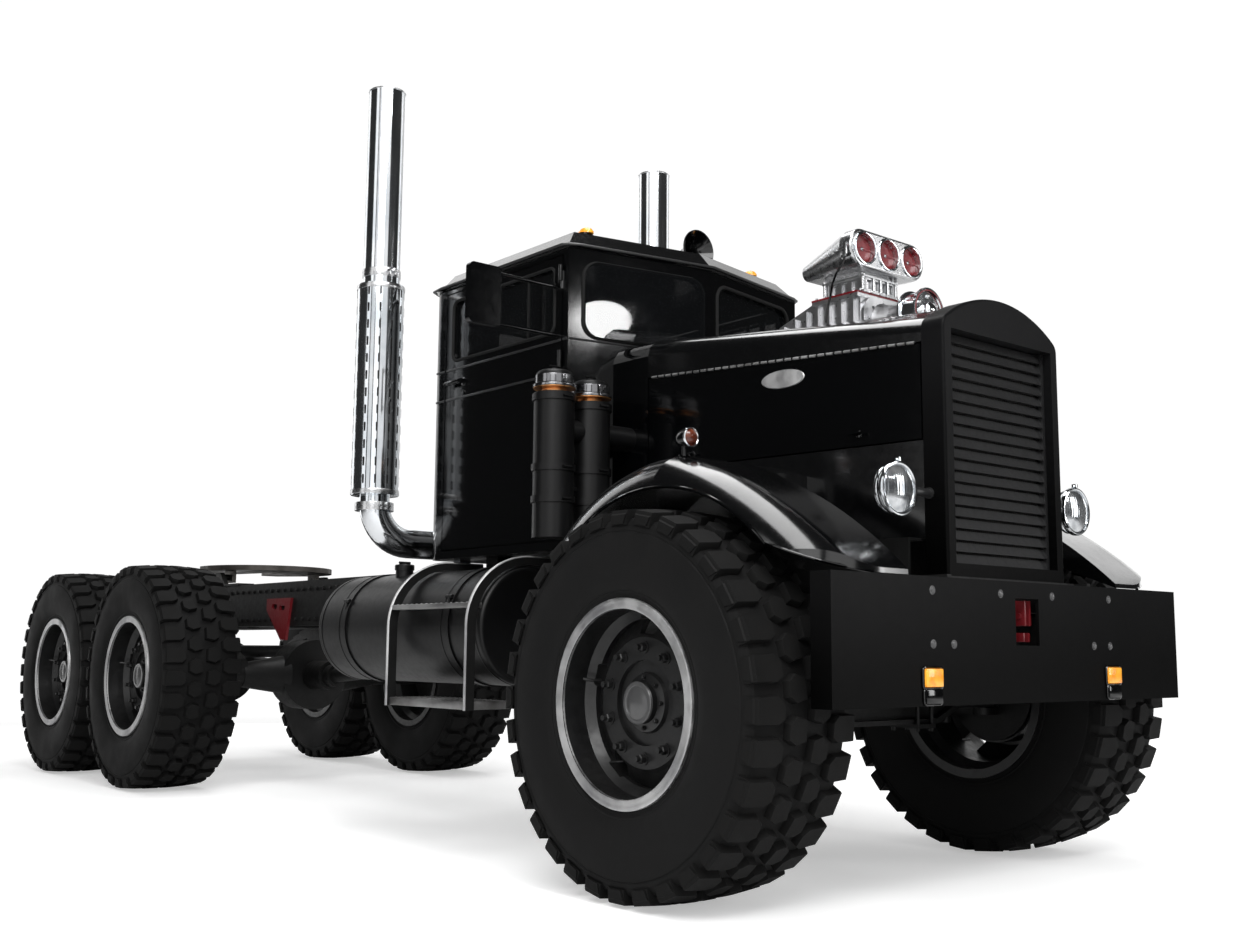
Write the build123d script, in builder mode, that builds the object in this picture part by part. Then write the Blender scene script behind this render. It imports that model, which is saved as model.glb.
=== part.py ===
from build123d import *
import math
import os

os.makedirs("parts", exist_ok=True)

# A three-axle road tractor with a long narrow bonnet, seen as an assembly of its real pieces.
# Millimetres. +Z is up, the front faces -Y, +X is the truck's left side, ground is Z = 0.
# Stations along the truck are measured rearward from the front axle and turned into Y by st().

# ---- driving dimensions -------------------------------------------------------------------
TYRE_R = 674.0              # outside radius of every tyre
TYRE_W = 470.0              # section width of a tyre
TYRE_OUT = 1220.0           # outer sidewall, from the centreline
FLANGE_R = 358.0            # outside of the rim flange
BARREL_R = 335.0            # bead seat of the rim
BARREL_T = 14.0             # rim metal
TANDEM_ST = 4632.0          # station of the middle axle
TANDEM_GAP = 1378.0         # middle axle to rear axle

RAIL_OUT = 430.0            # outer face of the frame webs
RAIL_T = 9.0
RAIL_FLANGE = 85.0
RAIL_TOP = 1250.0
RAIL_H = 270.0
RAIL_END = 6600.0           # station of the rear end of the rails

BUMPER_FACE = -813.0        # station of the bumper's front
BUMPER_T = 13.0
BUMPER_HALF = 1048.0
BUMPER_LOW = 680.0
BUMPER_TOP = 1103.0
BUMPER_RETURN = 85.0
LAMP_PROUD = 14.0           # bumper lamps, ahead of the bumper's face

CAB_HALF = 720.0            # outer face of the doors
CAB_NOSE = 800.0            # station of the windscreen's centre post
CAB_CORNER = 940.0          # station of the front corners
CAB_BACK = 2050.0
CAB_FLOOR = 1275.0
CAB_EAVE = 2595.0           # underside of the roof pressing
ROOF_RISE = 92.0
WALL = 42.0
REAR_CORNER_R = 95.0

DOOR_FRONT = 985.0
DOOR_REAR = 1900.0
DOOR_LOW = 1318.0
DOOR_TOP = 2560.0
DOOR_GAP = 7.0
WINDOW_FRONT = 1035.0
WINDOW_REAR = 1845.0
WINDOW_LOW = 2225.0
WINDOW_TOP = 2520.0
GLASS_T = 6.0

SHELL_FACE = -745.0         # station of the radiator shell's front
SHELL_DEPTH = 95.0
SHELL_HALF = 360.0
SHELL_SHOULDER = 2022.0
SHELL_CROWN = 2142.0
SHELL_LOW = 1115.0
SHELL_RIM = 46.0            # width of the shell's face round the grille
SLATS = 20

HOOD_REAR = 665.0           # station where the bonnet meets the cowl
HOOD_HALF_REAR = 500.0
HOOD_SKIN = 12.0
HINGE_FRONT_Z = 1952.0
HINGE_REAR_Z = 2000.0
HOOD_TOP_FRONT = 2132.0
HOOD_TOP_REAR = 2192.0
PANEL_LOW = 1602.0

STEER_X = 880.0             # kingpins, from the centreline
FENDER_OUT = 1060.0
FENDER_T = 10.0
FENDER_R = 880.0

TANK_R = 258.0
TANK_X = RAIL_OUT + 54 + TANK_R        # a gap, then the tank's own radius
TANK_Z = 1210.0 - TANK_R
TANK_FRONT = 1150.0
TANK_REAR = 2590.0
TANK_CLEAR = 2.0

STACK_X = 905.0
STACK_ST = 2230.0
STACK_R = 91.0
STACK_TOP = 3655.0
SHIELD_R = 115.0
SHIELD_LOW = 1590.0
SHIELD_TOP = 2640.0
PIPE_R = 74.0
PIPE_Z = 1368.0

FIFTH_ST = 5210.0           # station of the coupling's tilt pin
FIFTH_PIN_Z = 1318.0
FIFTH_TOP = 1398.0

# ---- sizes worked out from them -------------------------------------------------------------
REAR_ST = TANDEM_ST + TANDEM_GAP
FRONT_END = BUMPER_FACE - LAMP_PROUD
REAR_END = REAR_ST + TYRE_R
MID_ST = (FRONT_END + REAR_END) / 2
TYRE_IN = TYRE_OUT - TYRE_W
AXLE_Z = TYRE_R
RAIL_LOW = RAIL_TOP - RAIL_H
RAIL_IN = RAIL_OUT - RAIL_FLANGE
BUMPER_BACK = BUMPER_FACE + BUMPER_T


def st(station):
    """Y of a station."""
    return station - MID_ST


def save(piece, name):
    """Label a finished piece and write it under its own name."""
    piece.part.label = name
    export_step(piece.part, "parts/" + name + ".step")


def box(x0, x1, s0, s1, z0, z1, mode=Mode.ADD):
    """A block given by its two X, two stations and two Z."""
    with Locations(((x0 + x1) / 2, st((s0 + s1) / 2), (z0 + z1) / 2)):
        Box(abs(x1 - x0), abs(s1 - s0), abs(z1 - z0), mode=mode)


def rod(x0, x1, station, z, radius, mode=Mode.ADD):
    """A round bar across the truck."""
    with Locations(Location(((x0 + x1) / 2, st(station), z), (0, 90, 0))):
        Cylinder(radius, abs(x1 - x0), mode=mode)


def post(x, station, z0, z1, radius, mode=Mode.ADD):
    """An upright round bar."""
    with Locations((x, st(station), (z0 + z1) / 2)):
        Cylinder(radius, z1 - z0, mode=mode)


def bar(x, s0, s1, z, radius, mode=Mode.ADD):
    """A round bar along the truck."""
    with Locations(Location((x, st((s0 + s1) / 2), z), (90, 0, 0))):
        Cylinder(radius, abs(s1 - s0), mode=mode)


def along(x):
    """A side-view sketching plane: local X is the station's direction, local Y is up."""
    return Plane.YZ.offset(x)


def across(station):
    """A front-view sketching plane at a station, for extrusions towards the front."""
    return Plane.XZ.offset(-st(station))


# ---- frame --------------------------------------------------------------------------------
CROSSMEMBERS = (1640.0, 2900.0, 3700.0, 5321.0, 6540.0)     # stations
NOSE_CUT = -632.0           # ahead of here the rails are cut down under the radiator shell
with BuildPart() as frame:
    with BuildSketch(across(RAIL_END)):
        with Locations((RAIL_OUT - RAIL_FLANGE / 2, RAIL_TOP - RAIL_H / 2)):
            Rectangle(RAIL_FLANGE, RAIL_H)
        with Locations((RAIL_IN + (RAIL_FLANGE - RAIL_T) / 2, RAIL_TOP - RAIL_H / 2)):
            Rectangle(RAIL_FLANGE - RAIL_T, RAIL_H - 2 * RAIL_T, mode=Mode.SUBTRACT)
    extrude(amount=RAIL_END - BUMPER_BACK)
    mirror(about=Plane.YZ)
    for station in CROSSMEMBERS:
        box(-RAIL_OUT + RAIL_T, RAIL_OUT - RAIL_T, station - 50, station + 50,
            RAIL_LOW + RAIL_T, RAIL_LOW + RAIL_T + 130)
    box(-RAIL_OUT, RAIL_OUT, BUMPER_BACK, NOSE_CUT, SHELL_LOW, RAIL_TOP + 1, mode=Mode.SUBTRACT)
    box(-RAIL_OUT + RAIL_T, RAIL_OUT - RAIL_T, SHELL_FACE, SHELL_FACE + SHELL_DEPTH, 1000, SHELL_LOW)
    for side in (-1, 1):
        box(side * RAIL_OUT, side * (RAIL_OUT + 14), BUMPER_BACK, BUMPER_BACK + 150, 850, SHELL_LOW)
save(frame, "frame")

# ---- bumper ---------------------------------------------------------------------------------
WINDOW_HALF = 72.0          # recovery opening in the bumper
LENS_X = 564.0
LENS_Z = 715.0
LENS_PROUD = 9.0
with BuildPart() as bumper:
    with BuildSketch(Plane.XY.offset(BUMPER_LOW)):
        with BuildLine():
            Polyline((0, st(BUMPER_FACE)), (BUMPER_HALF, st(BUMPER_FACE)),
                     (BUMPER_HALF, st(BUMPER_FACE + BUMPER_RETURN)),
                     (BUMPER_HALF - BUMPER_T, st(BUMPER_FACE + BUMPER_RETURN)),
                     (BUMPER_HALF - BUMPER_T, st(BUMPER_BACK)), (0, st(BUMPER_BACK)), close=True)
        make_face()
        mirror(about=Plane.YZ)
    extrude(amount=BUMPER_TOP - BUMPER_LOW)
    with BuildSketch(across(BUMPER_FACE)):
        with Locations((-LENS_X, LENS_Z), (LENS_X, LENS_Z)):
            RectangleRounded(50, 40, 6)
    extrude(amount=LENS_PROUD)
    box(-WINDOW_HALF, WINDOW_HALF, BUMPER_FACE - 5, BUMPER_BACK + 5, 880, 1045, mode=Mode.SUBTRACT)
save(bumper, "bumper")

# ---- wheels ---------------------------------------------------------------------------------
HUB_CAP_R = 72.0
HUB_R = 100.0
HUB_OPEN_R = 147.0          # centre hole of the wheel disc
DISC_X = 1090.0             # outer face of the wheel disc
DISC_T = 22.0
DRUM_R = 214.0
DRUM_IN = 958.0             # open edge of the brake drum
SPINDLE_R = 40.0
SPINDLE_END = 1075.0
HAND_HOLES = 5
HAND_HOLE_R = 268.0


def tyre_profile(side):
    """Section of a tyre on a plane through its axis, x across and r outward."""
    def p(x, r):
        return (side * x, r)
    mid = (TYRE_IN + TYRE_OUT) / 2
    inner = TYRE_W / 2 - 34
    with BuildLine() as outline:
        Line(p(TYRE_OUT - 32, BARREL_R), p(TYRE_OUT - 32, FLANGE_R + 2))
        ThreePointArc(p(TYRE_OUT - 32, FLANGE_R + 2), p(TYRE_OUT, 500), p(TYRE_OUT - 18, 622))
        ThreePointArc(p(TYRE_OUT - 18, 622), p(TYRE_OUT - 36, 652), p(TYRE_OUT - 72, 664))
        ThreePointArc(p(TYRE_OUT - 72, 664), p(mid, TYRE_R), p(TYRE_IN + 72, 664))
        ThreePointArc(p(TYRE_IN + 72, 664), p(TYRE_IN + 36, 652), p(TYRE_IN + 18, 622))
        ThreePointArc(p(TYRE_IN + 18, 622), p(TYRE_IN, 500), p(TYRE_IN + 32, FLANGE_R + 2))
        Line(p(TYRE_IN + 32, FLANGE_R + 2), p(TYRE_IN + 32, BARREL_R))
        Line(p(TYRE_IN + 32, BARREL_R), p(TYRE_IN + 80, BARREL_R))
        ThreePointArc(p(TYRE_IN + 80, BARREL_R), p(mid - inner, 490), p(mid - inner + 50, 600))
        ThreePointArc(p(mid - inner + 50, 600), p(mid, 622), p(mid + inner - 50, 600))
        ThreePointArc(p(mid + inner - 50, 600), p(mid + inner, 490), p(TYRE_OUT - 80, BARREL_R))
        Line(p(TYRE_OUT - 80, BARREL_R), p(TYRE_OUT - 32, BARREL_R))
    make_face(outline.edges())


def rim_profile(side):
    """Section of the rim barrel, its flanges and drop centre."""
    x_out = TYRE_OUT - 32
    x_in = TYRE_IN + 32
    with BuildLine() as outline:
        Polyline([(side * x, r) for x, r in (
            (x_out, BARREL_R), (x_out, FLANGE_R), (x_out + 12, FLANGE_R), (x_out + 12, BARREL_R - BARREL_T),
            (x_out - 90, BARREL_R - BARREL_T), (x_out - 120, BARREL_R - BARREL_T - 28),
            (x_in + 90, BARREL_R - BARREL_T - 28), (x_in + 60, BARREL_R - BARREL_T),
            (x_in - 12, BARREL_R - BARREL_T), (x_in - 12, FLANGE_R), (x_in, FLANGE_R), (x_in, BARREL_R),
            (x_in + 66, BARREL_R), (x_in + 96, BARREL_R - 28), (x_out - 126, BARREL_R - 28),
            (x_out - 96, BARREL_R))], close=True)
    make_face(outline.edges())


def hub_profile(side):
    """Section of the disc, hub and brake drum."""
    disc_in = DISC_X - DISC_T
    with BuildLine() as outline:
        Polyline([(side * x, r) for x, r in (
            (SPINDLE_END + 3, 0), (DISC_X + 33, 0), (DISC_X + 33, HUB_CAP_R - 8), (DISC_X + 25, HUB_CAP_R),
            (DISC_X + 4, HUB_CAP_R), (DISC_X - 4, HUB_R), (disc_in + 4, HUB_R + 6), (disc_in + 4, HUB_OPEN_R),
            (DISC_X, HUB_OPEN_R), (DISC_X, 226), (DISC_X - 12, 240), (DISC_X - 45, BARREL_R - BARREL_T - 28),
            (DISC_X - 45 - DISC_T, BARREL_R - BARREL_T - 28), (disc_in - 4, 228), (disc_in - 4, DRUM_R),
            (DRUM_IN, DRUM_R), (DRUM_IN, DRUM_R - 16), (disc_in - 24, DRUM_R - 16), (disc_in - 24, 78),
            (DRUM_IN + 20, 70), (DRUM_IN + 20, SPINDLE_R + 0.6), (SPINDLE_END + 3, SPINDLE_R + 0.6))],
                 close=True)
    make_face(outline.edges())


WHEELS = (                  # name, side (+1 left), station
    ("front_left", 1, 0.0), ("front_right", -1, 0.0),
    ("middle_left", 1, TANDEM_ST), ("middle_right", -1, TANDEM_ST),
    ("rear_left", 1, REAR_ST), ("rear_right", -1, REAR_ST),
)
for name, side, station in WHEELS:
    axle_plane = Plane(origin=(0, st(station), AXLE_Z), x_dir=(1, 0, 0), z_dir=(0, 0, 1))
    axle_axis = Axis((0, st(station), AXLE_Z), (1, 0, 0))
    with BuildPart() as tyre:
        with BuildSketch(axle_plane):
            tyre_profile(side)
        revolve(axis=axle_axis)
    save(tyre, "tyre_" + name)
    with BuildPart() as wheel:
        with BuildSketch(axle_plane):
            rim_profile(side)
            hub_profile(side)
        revolve(axis=axle_axis)
        with BuildSketch(Plane(origin=(side * (DISC_X + 5), st(station), AXLE_Z), x_dir=(0, side, 0),
                               z_dir=(side, 0, 0))):
            with PolarLocations(HAND_HOLE_R, HAND_HOLES, start_angle=90):
                RectangleRounded(62, 84, 10)
        extrude(amount=-90, mode=Mode.SUBTRACT)
    save(wheel, "wheel_" + name)

# ---- front axle, knuckles, tie rod and springs ---------------------------------------------
BOSS_R = 50.0
BOSS_H = 110.0
LUG_R = 42.0
LUG_T = 30.0
LUG_GAP = 5.0
PIN_R = 20.0
PIN_PLAY = 0.5
PLATE_X = 941.0             # brake backing plate
PLATE_T = 8.0
BEAM_HALF = 50.0
BEAM_LOW = 560.0
BEAM_TOP = 655.0
ARM_X = STEER_X             # tie rod pins, so the arms stay parallel
ARM_ST = 200.0
TIE_Z = 560.0
TIE_PIN_R = 11.0
LUG_LOW = AXLE_Z - BOSS_H / 2 - LUG_GAP - LUG_T


def beam_pocket(face_station, depth):
    """Hollow one flank of the beam, which leaves its I section."""
    with BuildSketch(across(face_station)) as pocket:
        with BuildLine():
            Polyline((0, BEAM_LOW + 20), (490, BEAM_LOW + 20), (620, AXLE_Z - 38), (620, AXLE_Z),
                     (550, BEAM_TOP - 20), (0, BEAM_TOP - 20), close=True)
        make_face()
    extrude(pocket.sketch, amount=depth, mode=Mode.SUBTRACT)


with BuildPart() as front_axle:
    with BuildSketch(across(BEAM_HALF)):
        with BuildLine():
            Polyline((0, BEAM_LOW), (500, BEAM_LOW), (640, AXLE_Z - BOSS_H / 2), (STEER_X, AXLE_Z - BOSS_H / 2),
                     (STEER_X, AXLE_Z + BOSS_H / 2), (700, AXLE_Z + BOSS_H / 2), (570, BEAM_TOP),
                     (0, BEAM_TOP), close=True)
        make_face()
    extrude(amount=2 * BEAM_HALF)
    beam_pocket(BEAM_HALF, 34)
    beam_pocket(-BEAM_HALF, -34)
    post(STEER_X, 0, AXLE_Z - BOSS_H / 2, AXLE_Z + BOSS_H / 2, BOSS_R)
    post(STEER_X, 0, AXLE_Z - BOSS_H, AXLE_Z + BOSS_H, PIN_R + PIN_PLAY, mode=Mode.SUBTRACT)
    mirror(about=Plane.YZ)
save(front_axle, "front_axle")

with BuildPart() as knuckle_left:
    for z0 in (LUG_LOW, AXLE_Z + BOSS_H / 2 + LUG_GAP):
        post(STEER_X, 0, z0, z0 + LUG_T, LUG_R)
        box(STEER_X, PLATE_X, -LUG_R, LUG_R, z0, z0 + LUG_T)
    box(STEER_X + BOSS_R + LUG_GAP, PLATE_X, -LUG_R, LUG_R, LUG_LOW, 2 * AXLE_Z - LUG_LOW)
    rod(PLATE_X, PLATE_X + PLATE_T, 0, AXLE_Z, DRUM_R - 9)
    rod(PLATE_X, SPINDLE_END, 0, AXLE_Z, SPINDLE_R)
    post(STEER_X, 0, LUG_LOW, 2 * AXLE_Z - LUG_LOW, PIN_R)
    box(ARM_X - 22, ARM_X + 22, 30, ARM_ST, LUG_LOW, LUG_LOW + LUG_T)
    post(ARM_X, ARM_ST, LUG_LOW, LUG_LOW + LUG_T, 30)
    post(ARM_X, ARM_ST, LUG_LOW - 1, LUG_LOW + LUG_T + 1, TIE_PIN_R + PIN_PLAY, mode=Mode.SUBTRACT)
save(knuckle_left, "knuckle_left")
with BuildPart() as knuckle_right:
    mirror(knuckle_left.part, about=Plane.YZ)
save(knuckle_right, "knuckle_right")

with BuildPart() as tie_rod:
    rod(-ARM_X, ARM_X, ARM_ST, TIE_Z, 17)
    for side in (-1, 1):
        post(side * ARM_X, ARM_ST, TIE_Z - 19, LUG_LOW - 5, 26)
        post(side * ARM_X, ARM_ST, TIE_Z, LUG_LOW + LUG_T, TIE_PIN_R)
save(tie_rod, "tie_rod")

SPRING_IN = 352.0
SPRING_OUT = 428.0
LEAF_T = 14.0
LEAVES = 7


def leaf(x0, x1, station, centre_z, radius, half, upward):
    """One curved leaf; upward is 1 where its ends rise, -1 where they droop."""
    sweep_half = math.degrees(math.asin(half / radius))
    middle = 270 if upward > 0 else 90
    with BuildSketch(along(x0)) as band:
        with BuildLine():
            inner = CenterArc((st(station), centre_z), radius, middle - sweep_half, 2 * sweep_half)
            outer = CenterArc((st(station), centre_z), radius + LEAF_T, middle - sweep_half, 2 * sweep_half)
            Line(inner @ 0, outer @ 0)
            Line(inner @ 1, outer @ 1)
        make_face()
    extrude(band.sketch, amount=x1 - x0)


FRONT_PAD = 20.0
FRONT_SPRING_R = 1500.0
FRONT_HALF = 590.0
FRONT_PACK_TOP = BEAM_TOP + FRONT_PAD + LEAVES * LEAF_T
EYE_R = 28.0
eye_angle = math.asin(FRONT_HALF / FRONT_SPRING_R)
eye_reach = (FRONT_SPRING_R + LEAF_T / 2) * math.sin(eye_angle)
eye_z = FRONT_PACK_TOP + FRONT_SPRING_R - (FRONT_SPRING_R + LEAF_T / 2) * math.cos(eye_angle)
with BuildPart() as front_springs:
    for number in range(LEAVES):
        leaf(SPRING_IN, SPRING_OUT, 0, FRONT_PACK_TOP + FRONT_SPRING_R, FRONT_SPRING_R + number * LEAF_T,
             FRONT_HALF - number * 78, 1)
    box(SPRING_IN, SPRING_OUT, -62, 62, BEAM_TOP, BEAM_TOP + FRONT_PAD + 4)
    box(SPRING_IN - 20, SPRING_OUT + 14, -75, 75, FRONT_PACK_TOP - 4, FRONT_PACK_TOP + 16)
    box(SPRING_IN - 20, SPRING_OUT + 14, -75, 75, BEAM_LOW - 16, BEAM_LOW)
    for x in (SPRING_IN - 11, SPRING_OUT + 4):
        for station in (-BEAM_HALF - 12, BEAM_HALF + 12):
            post(x, station, BEAM_LOW - 30, FRONT_PACK_TOP + 30, 9)
    for end in (-1, 1):
        rod(SPRING_IN - 7, SPRING_OUT + 9, end * eye_reach, eye_z, EYE_R)
        for x in (SPRING_IN - 7, SPRING_OUT + 2):
            box(x, x + 7, end * eye_reach - 40, end * eye_reach + 40, eye_z - 35, RAIL_LOW)
        box(SPRING_IN - 7, SPRING_OUT + 2, end * eye_reach - 40, end * eye_reach + 40, RAIL_LOW - 16, RAIL_LOW)
    mirror(about=Plane.YZ)
save(front_springs, "front_springs")

# ---- rear axles and suspension ----------------------------------------------------------------
TUBE_R = 72.0
DIFF_R = 225.0
NOSE_REACH = 330.0
SEAT_TOP = 758.0
CAMEL_IN = 450.0
CAMEL_OUT = 530.0
CAMEL_R = 1600.0
with BuildPart() as rear_axles:
    for station in (TANDEM_ST, REAR_ST):
        rod(-PLATE_X, PLATE_X, station, AXLE_Z, TUBE_R)
        bar(0, station - 105, station + 105, AXLE_Z, DIFF_R)
        bar(0, station - NOSE_REACH, station - 100, AXLE_Z, 92)
        for side in (-1, 1):
            with Locations(Location((side * 320, st(station), AXLE_Z), (0, side * 90, 0))):
                Cone(125, TUBE_R + 5, 300)
            rod(side * PLATE_X, side * (PLATE_X + PLATE_T), station, AXLE_Z, DRUM_R - 9)
            rod(side * PLATE_X, side * SPINDLE_END, station, AXLE_Z, SPINDLE_R)
            box(side * CAMEL_IN, side * CAMEL_OUT, station - 60, station + 60, AXLE_Z, SEAT_TOP)
    bar(0, TANDEM_ST + 100, TANDEM_ST + NOSE_REACH, AXLE_Z, 70)
save(rear_axles, "rear_axles")

TRUNNION_ST = (TANDEM_ST + REAR_ST) / 2
CAMEL_HALF = TANDEM_GAP / 2
CAMEL_PAD = 18.0
camel_low = SEAT_TOP + CAMEL_PAD + CAMEL_R - math.sqrt(CAMEL_R ** 2 - CAMEL_HALF ** 2)
with BuildPart() as rear_suspension:
    for number in range(LEAVES):
        leaf(CAMEL_IN, CAMEL_OUT, TRUNNION_ST, camel_low - CAMEL_R, CAMEL_R + number * LEAF_T,
             CAMEL_HALF + 25 - number * 90, -1)
    for end in (-1, 1):
        box(CAMEL_IN, CAMEL_OUT, TRUNNION_ST + end * CAMEL_HALF - 45, TRUNNION_ST + end * CAMEL_HALF + 45,
            SEAT_TOP, SEAT_TOP + CAMEL_PAD)
    box(CAMEL_IN - 8, CAMEL_OUT + 8, TRUNNION_ST - 105, TRUNNION_ST + 105, 790, camel_low + 4)
    box(CAMEL_IN - 8, CAMEL_OUT + 8, TRUNNION_ST - 105, TRUNNION_ST + 105,
        camel_low + LEAVES * LEAF_T - 2, camel_low + LEAVES * LEAF_T + 18)
    with BuildSketch(along(RAIL_OUT)):
        with BuildLine():
            Polyline((st(TRUNNION_ST - 230), RAIL_TOP - 20), (st(TRUNNION_ST + 230), RAIL_TOP - 20),
                     (st(TRUNNION_ST + 230), RAIL_LOW), (st(TRUNNION_ST + 90), 740),
                     (st(TRUNNION_ST - 90), 740), (st(TRUNNION_ST - 230), RAIL_LOW), close=True)
        make_face()
    extrude(amount=CAMEL_IN - 8 - RAIL_OUT)
    rod(0, CAMEL_OUT + 30, TRUNNION_ST, 820, 42)
    mirror(about=Plane.YZ)
save(rear_suspension, "rear_suspension")

BRACKET_ST = 4180.0
with BuildPart() as torque_brackets:
    with BuildSketch(along(RAIL_OUT)):
        with BuildLine():
            Polyline((st(BRACKET_ST - 165), 1150), (st(BRACKET_ST + 165), 1150), (st(BRACKET_ST + 165), 1080),
                     (st(BRACKET_ST - 40), 895), (st(BRACKET_ST - 110), 895), close=True)
        make_face()
        with Locations((st(BRACKET_ST - 50), 1090), (st(BRACKET_ST + 55), 1100)):
            SlotOverall(70, 30, mode=Mode.SUBTRACT)
    extrude(amount=16)
    mirror(about=Plane.YZ)
save(torque_brackets, "torque_brackets")

# ---- engine, gearbox and shafts ----------------------------------------------------------------
ENGINE_HALF = 235.0
ENGINE_FRONT = -400.0
ENGINE_BACK = 640.0
ENGINE_LOW = 800.0
ENGINE_TOP = 2040.0
GEARBOX_BACK = 1540.0
OUTPUT_Z = 900.0
with BuildPart() as engine:
    box(-ENGINE_HALF, ENGINE_HALF, ENGINE_FRONT, ENGINE_BACK, ENGINE_LOW, ENGINE_TOP)
    fillet(engine.edges().filter_by(Axis.Y), 40)
    for station in (-200, 480):
        for side in (-1, 1):
            box(side * (ENGINE_HALF - 5), side * (RAIL_OUT - 40), station - 50, station + 50,
                RAIL_TOP, RAIL_TOP + 40)
save(engine, "engine")
with BuildPart() as gearbox:
    bar(0, ENGINE_BACK, ENGINE_BACK + 120, 960, 255)
    with Locations(Location((0, st(ENGINE_BACK + 220), 960), (90, 0, 0))):
        Cone(160, 255, 200)
    box(-170, 170, ENGINE_BACK + 300, GEARBOX_BACK, 790, 1140)
    bar(0, GEARBOX_BACK, GEARBOX_BACK + 40, OUTPUT_Z, 85)
    box(-RAIL_IN + 5, RAIL_IN - 5, 1400, 1460, 1100, 1180)
    for side in (-1, 1):
        box(side * (RAIL_IN - 10), side * (RAIL_OUT - RAIL_T), 1400, 1460, 1120, 1180)
save(gearbox, "gearbox")


def shaft(s0, z0, s1, z1, radius):
    """A slanting round shaft on the centreline between two stations."""
    start = Vector(0, st(s0), z0)
    run = Vector(0, st(s1), z1) - start
    with BuildSketch(Plane(origin=start, x_dir=(1, 0, 0), z_dir=run)) as section:
        Circle(radius)
    extrude(section.sketch, amount=run.length)


SHAFT_R = 48.0
with BuildPart() as driveshafts:
    first = GEARBOX_BACK + 40
    last = TANDEM_ST - NOSE_REACH
    bar(0, first, first + 70, OUTPUT_Z, 70)
    bar(0, last - 70, last, AXLE_Z, 70)
    shaft(first + 35, OUTPUT_Z, last - 35, AXLE_Z, SHAFT_R)
    middle_z = OUTPUT_Z + (AXLE_Z - OUTPUT_Z) * (2900 - first) / (last - first)
    box(-80, 80, 2870, 2930, middle_z - 80, middle_z + 80)
    box(-30, 30, 2870, 2930, middle_z + 70, RAIL_LOW + RAIL_T)
    bar(0, TANDEM_ST + NOSE_REACH, TANDEM_ST + NOSE_REACH + 40, AXLE_Z, 70)
    bar(0, REAR_ST - NOSE_REACH - 40, REAR_ST - NOSE_REACH, AXLE_Z, 70)
    bar(0, TANDEM_ST + NOSE_REACH, REAR_ST - NOSE_REACH, AXLE_Z, SHAFT_R)
save(driveshafts, "driveshafts")

# ---- fifth wheel -------------------------------------------------------------------------------
THROAT = 52.0               # across the kingpin bore
with BuildPart() as fifth_wheel_base:
    for side in (-1, 1):
        box(side * 330, side * (RAIL_OUT + 12), FIFTH_ST - 420, FIFTH_ST + 420, RAIL_TOP, RAIL_TOP + 14)
        with BuildSketch(along(side * 372)):
            with BuildLine():
                Polyline((st(FIFTH_ST - 120), RAIL_TOP + 14), (st(FIFTH_ST + 120), RAIL_TOP + 14),
                         (st(FIFTH_ST + 38), FIFTH_PIN_Z + 30), (st(FIFTH_ST - 38), FIFTH_PIN_Z + 30), close=True)
            make_face()
        extrude(amount=side * 30)
        rod(side * 296, side * 402, FIFTH_ST, FIFTH_PIN_Z, 22)
save(fifth_wheel_base, "fifth_wheel_base")
with BuildPart() as fifth_wheel_plate:
    with BuildSketch(Plane.XY.offset(FIFTH_TOP - 34)):
        with BuildLine():
            ThreePointArc((-450, st(FIFTH_ST + 60)), (0, st(FIFTH_ST - 340)), (450, st(FIFTH_ST + 60)))
            Polyline((450, st(FIFTH_ST + 60)), (450, st(FIFTH_ST + 190)), (250, st(FIFTH_ST + 440)),
                     (120, st(FIFTH_ST + 440)), (THROAT / 2, st(FIFTH_ST + 60)),
                     (THROAT / 2, st(FIFTH_ST)))
            ThreePointArc((THROAT / 2, st(FIFTH_ST)), (0, st(FIFTH_ST - THROAT / 2)), (-THROAT / 2, st(FIFTH_ST)))
            Polyline((-THROAT / 2, st(FIFTH_ST)), (-THROAT / 2, st(FIFTH_ST + 60)),
                     (-120, st(FIFTH_ST + 440)), (-250, st(FIFTH_ST + 440)), (-450, st(FIFTH_ST + 190)),
                     (-450, st(FIFTH_ST + 60)))
        make_face()
    extrude(amount=34)
    for side in (-1, 1):
        box(side * 296, side * 324, FIFTH_ST - 60, FIFTH_ST + 60, FIFTH_PIN_Z - 35, FIFTH_TOP - 34)
        rod(side * 290, side * 330, FIFTH_ST, FIFTH_PIN_Z, 22.6, mode=Mode.SUBTRACT)
save(fifth_wheel_plate, "fifth_wheel_plate")

# ---- radiator shell, grille and core ---------------------------------------------------------
GRILLE_HALF = SHELL_HALF - SHELL_RIM
GRILLE_LOW = SHELL_LOW + SHELL_RIM
GRILLE_TOP = SHELL_SHOULDER - 30
with BuildPart() as radiator_shell:
    with BuildSketch(across(SHELL_FACE + SHELL_DEPTH)) as outline:
        with BuildLine():
            Polyline((-SHELL_HALF, SHELL_SHOULDER), (-SHELL_HALF, SHELL_LOW), (SHELL_HALF, SHELL_LOW),
                     (SHELL_HALF, SHELL_SHOULDER))
            ThreePointArc((SHELL_HALF, SHELL_SHOULDER), (0, SHELL_CROWN), (-SHELL_HALF, SHELL_SHOULDER))
        make_face()
        fillet(outline.vertices().group_by(Axis.Y)[-1], 50)
    extrude(amount=SHELL_DEPTH)
    fillet(radiator_shell.faces().sort_by(Axis.Y)[0].edges().sort_by(Axis.Z)[1:], 10)
    box(-GRILLE_HALF, GRILLE_HALF, SHELL_FACE - 1, SHELL_FACE + SHELL_DEPTH + 1, GRILLE_LOW, GRILLE_TOP,
        mode=Mode.SUBTRACT)
save(radiator_shell, "radiator_shell")

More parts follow.
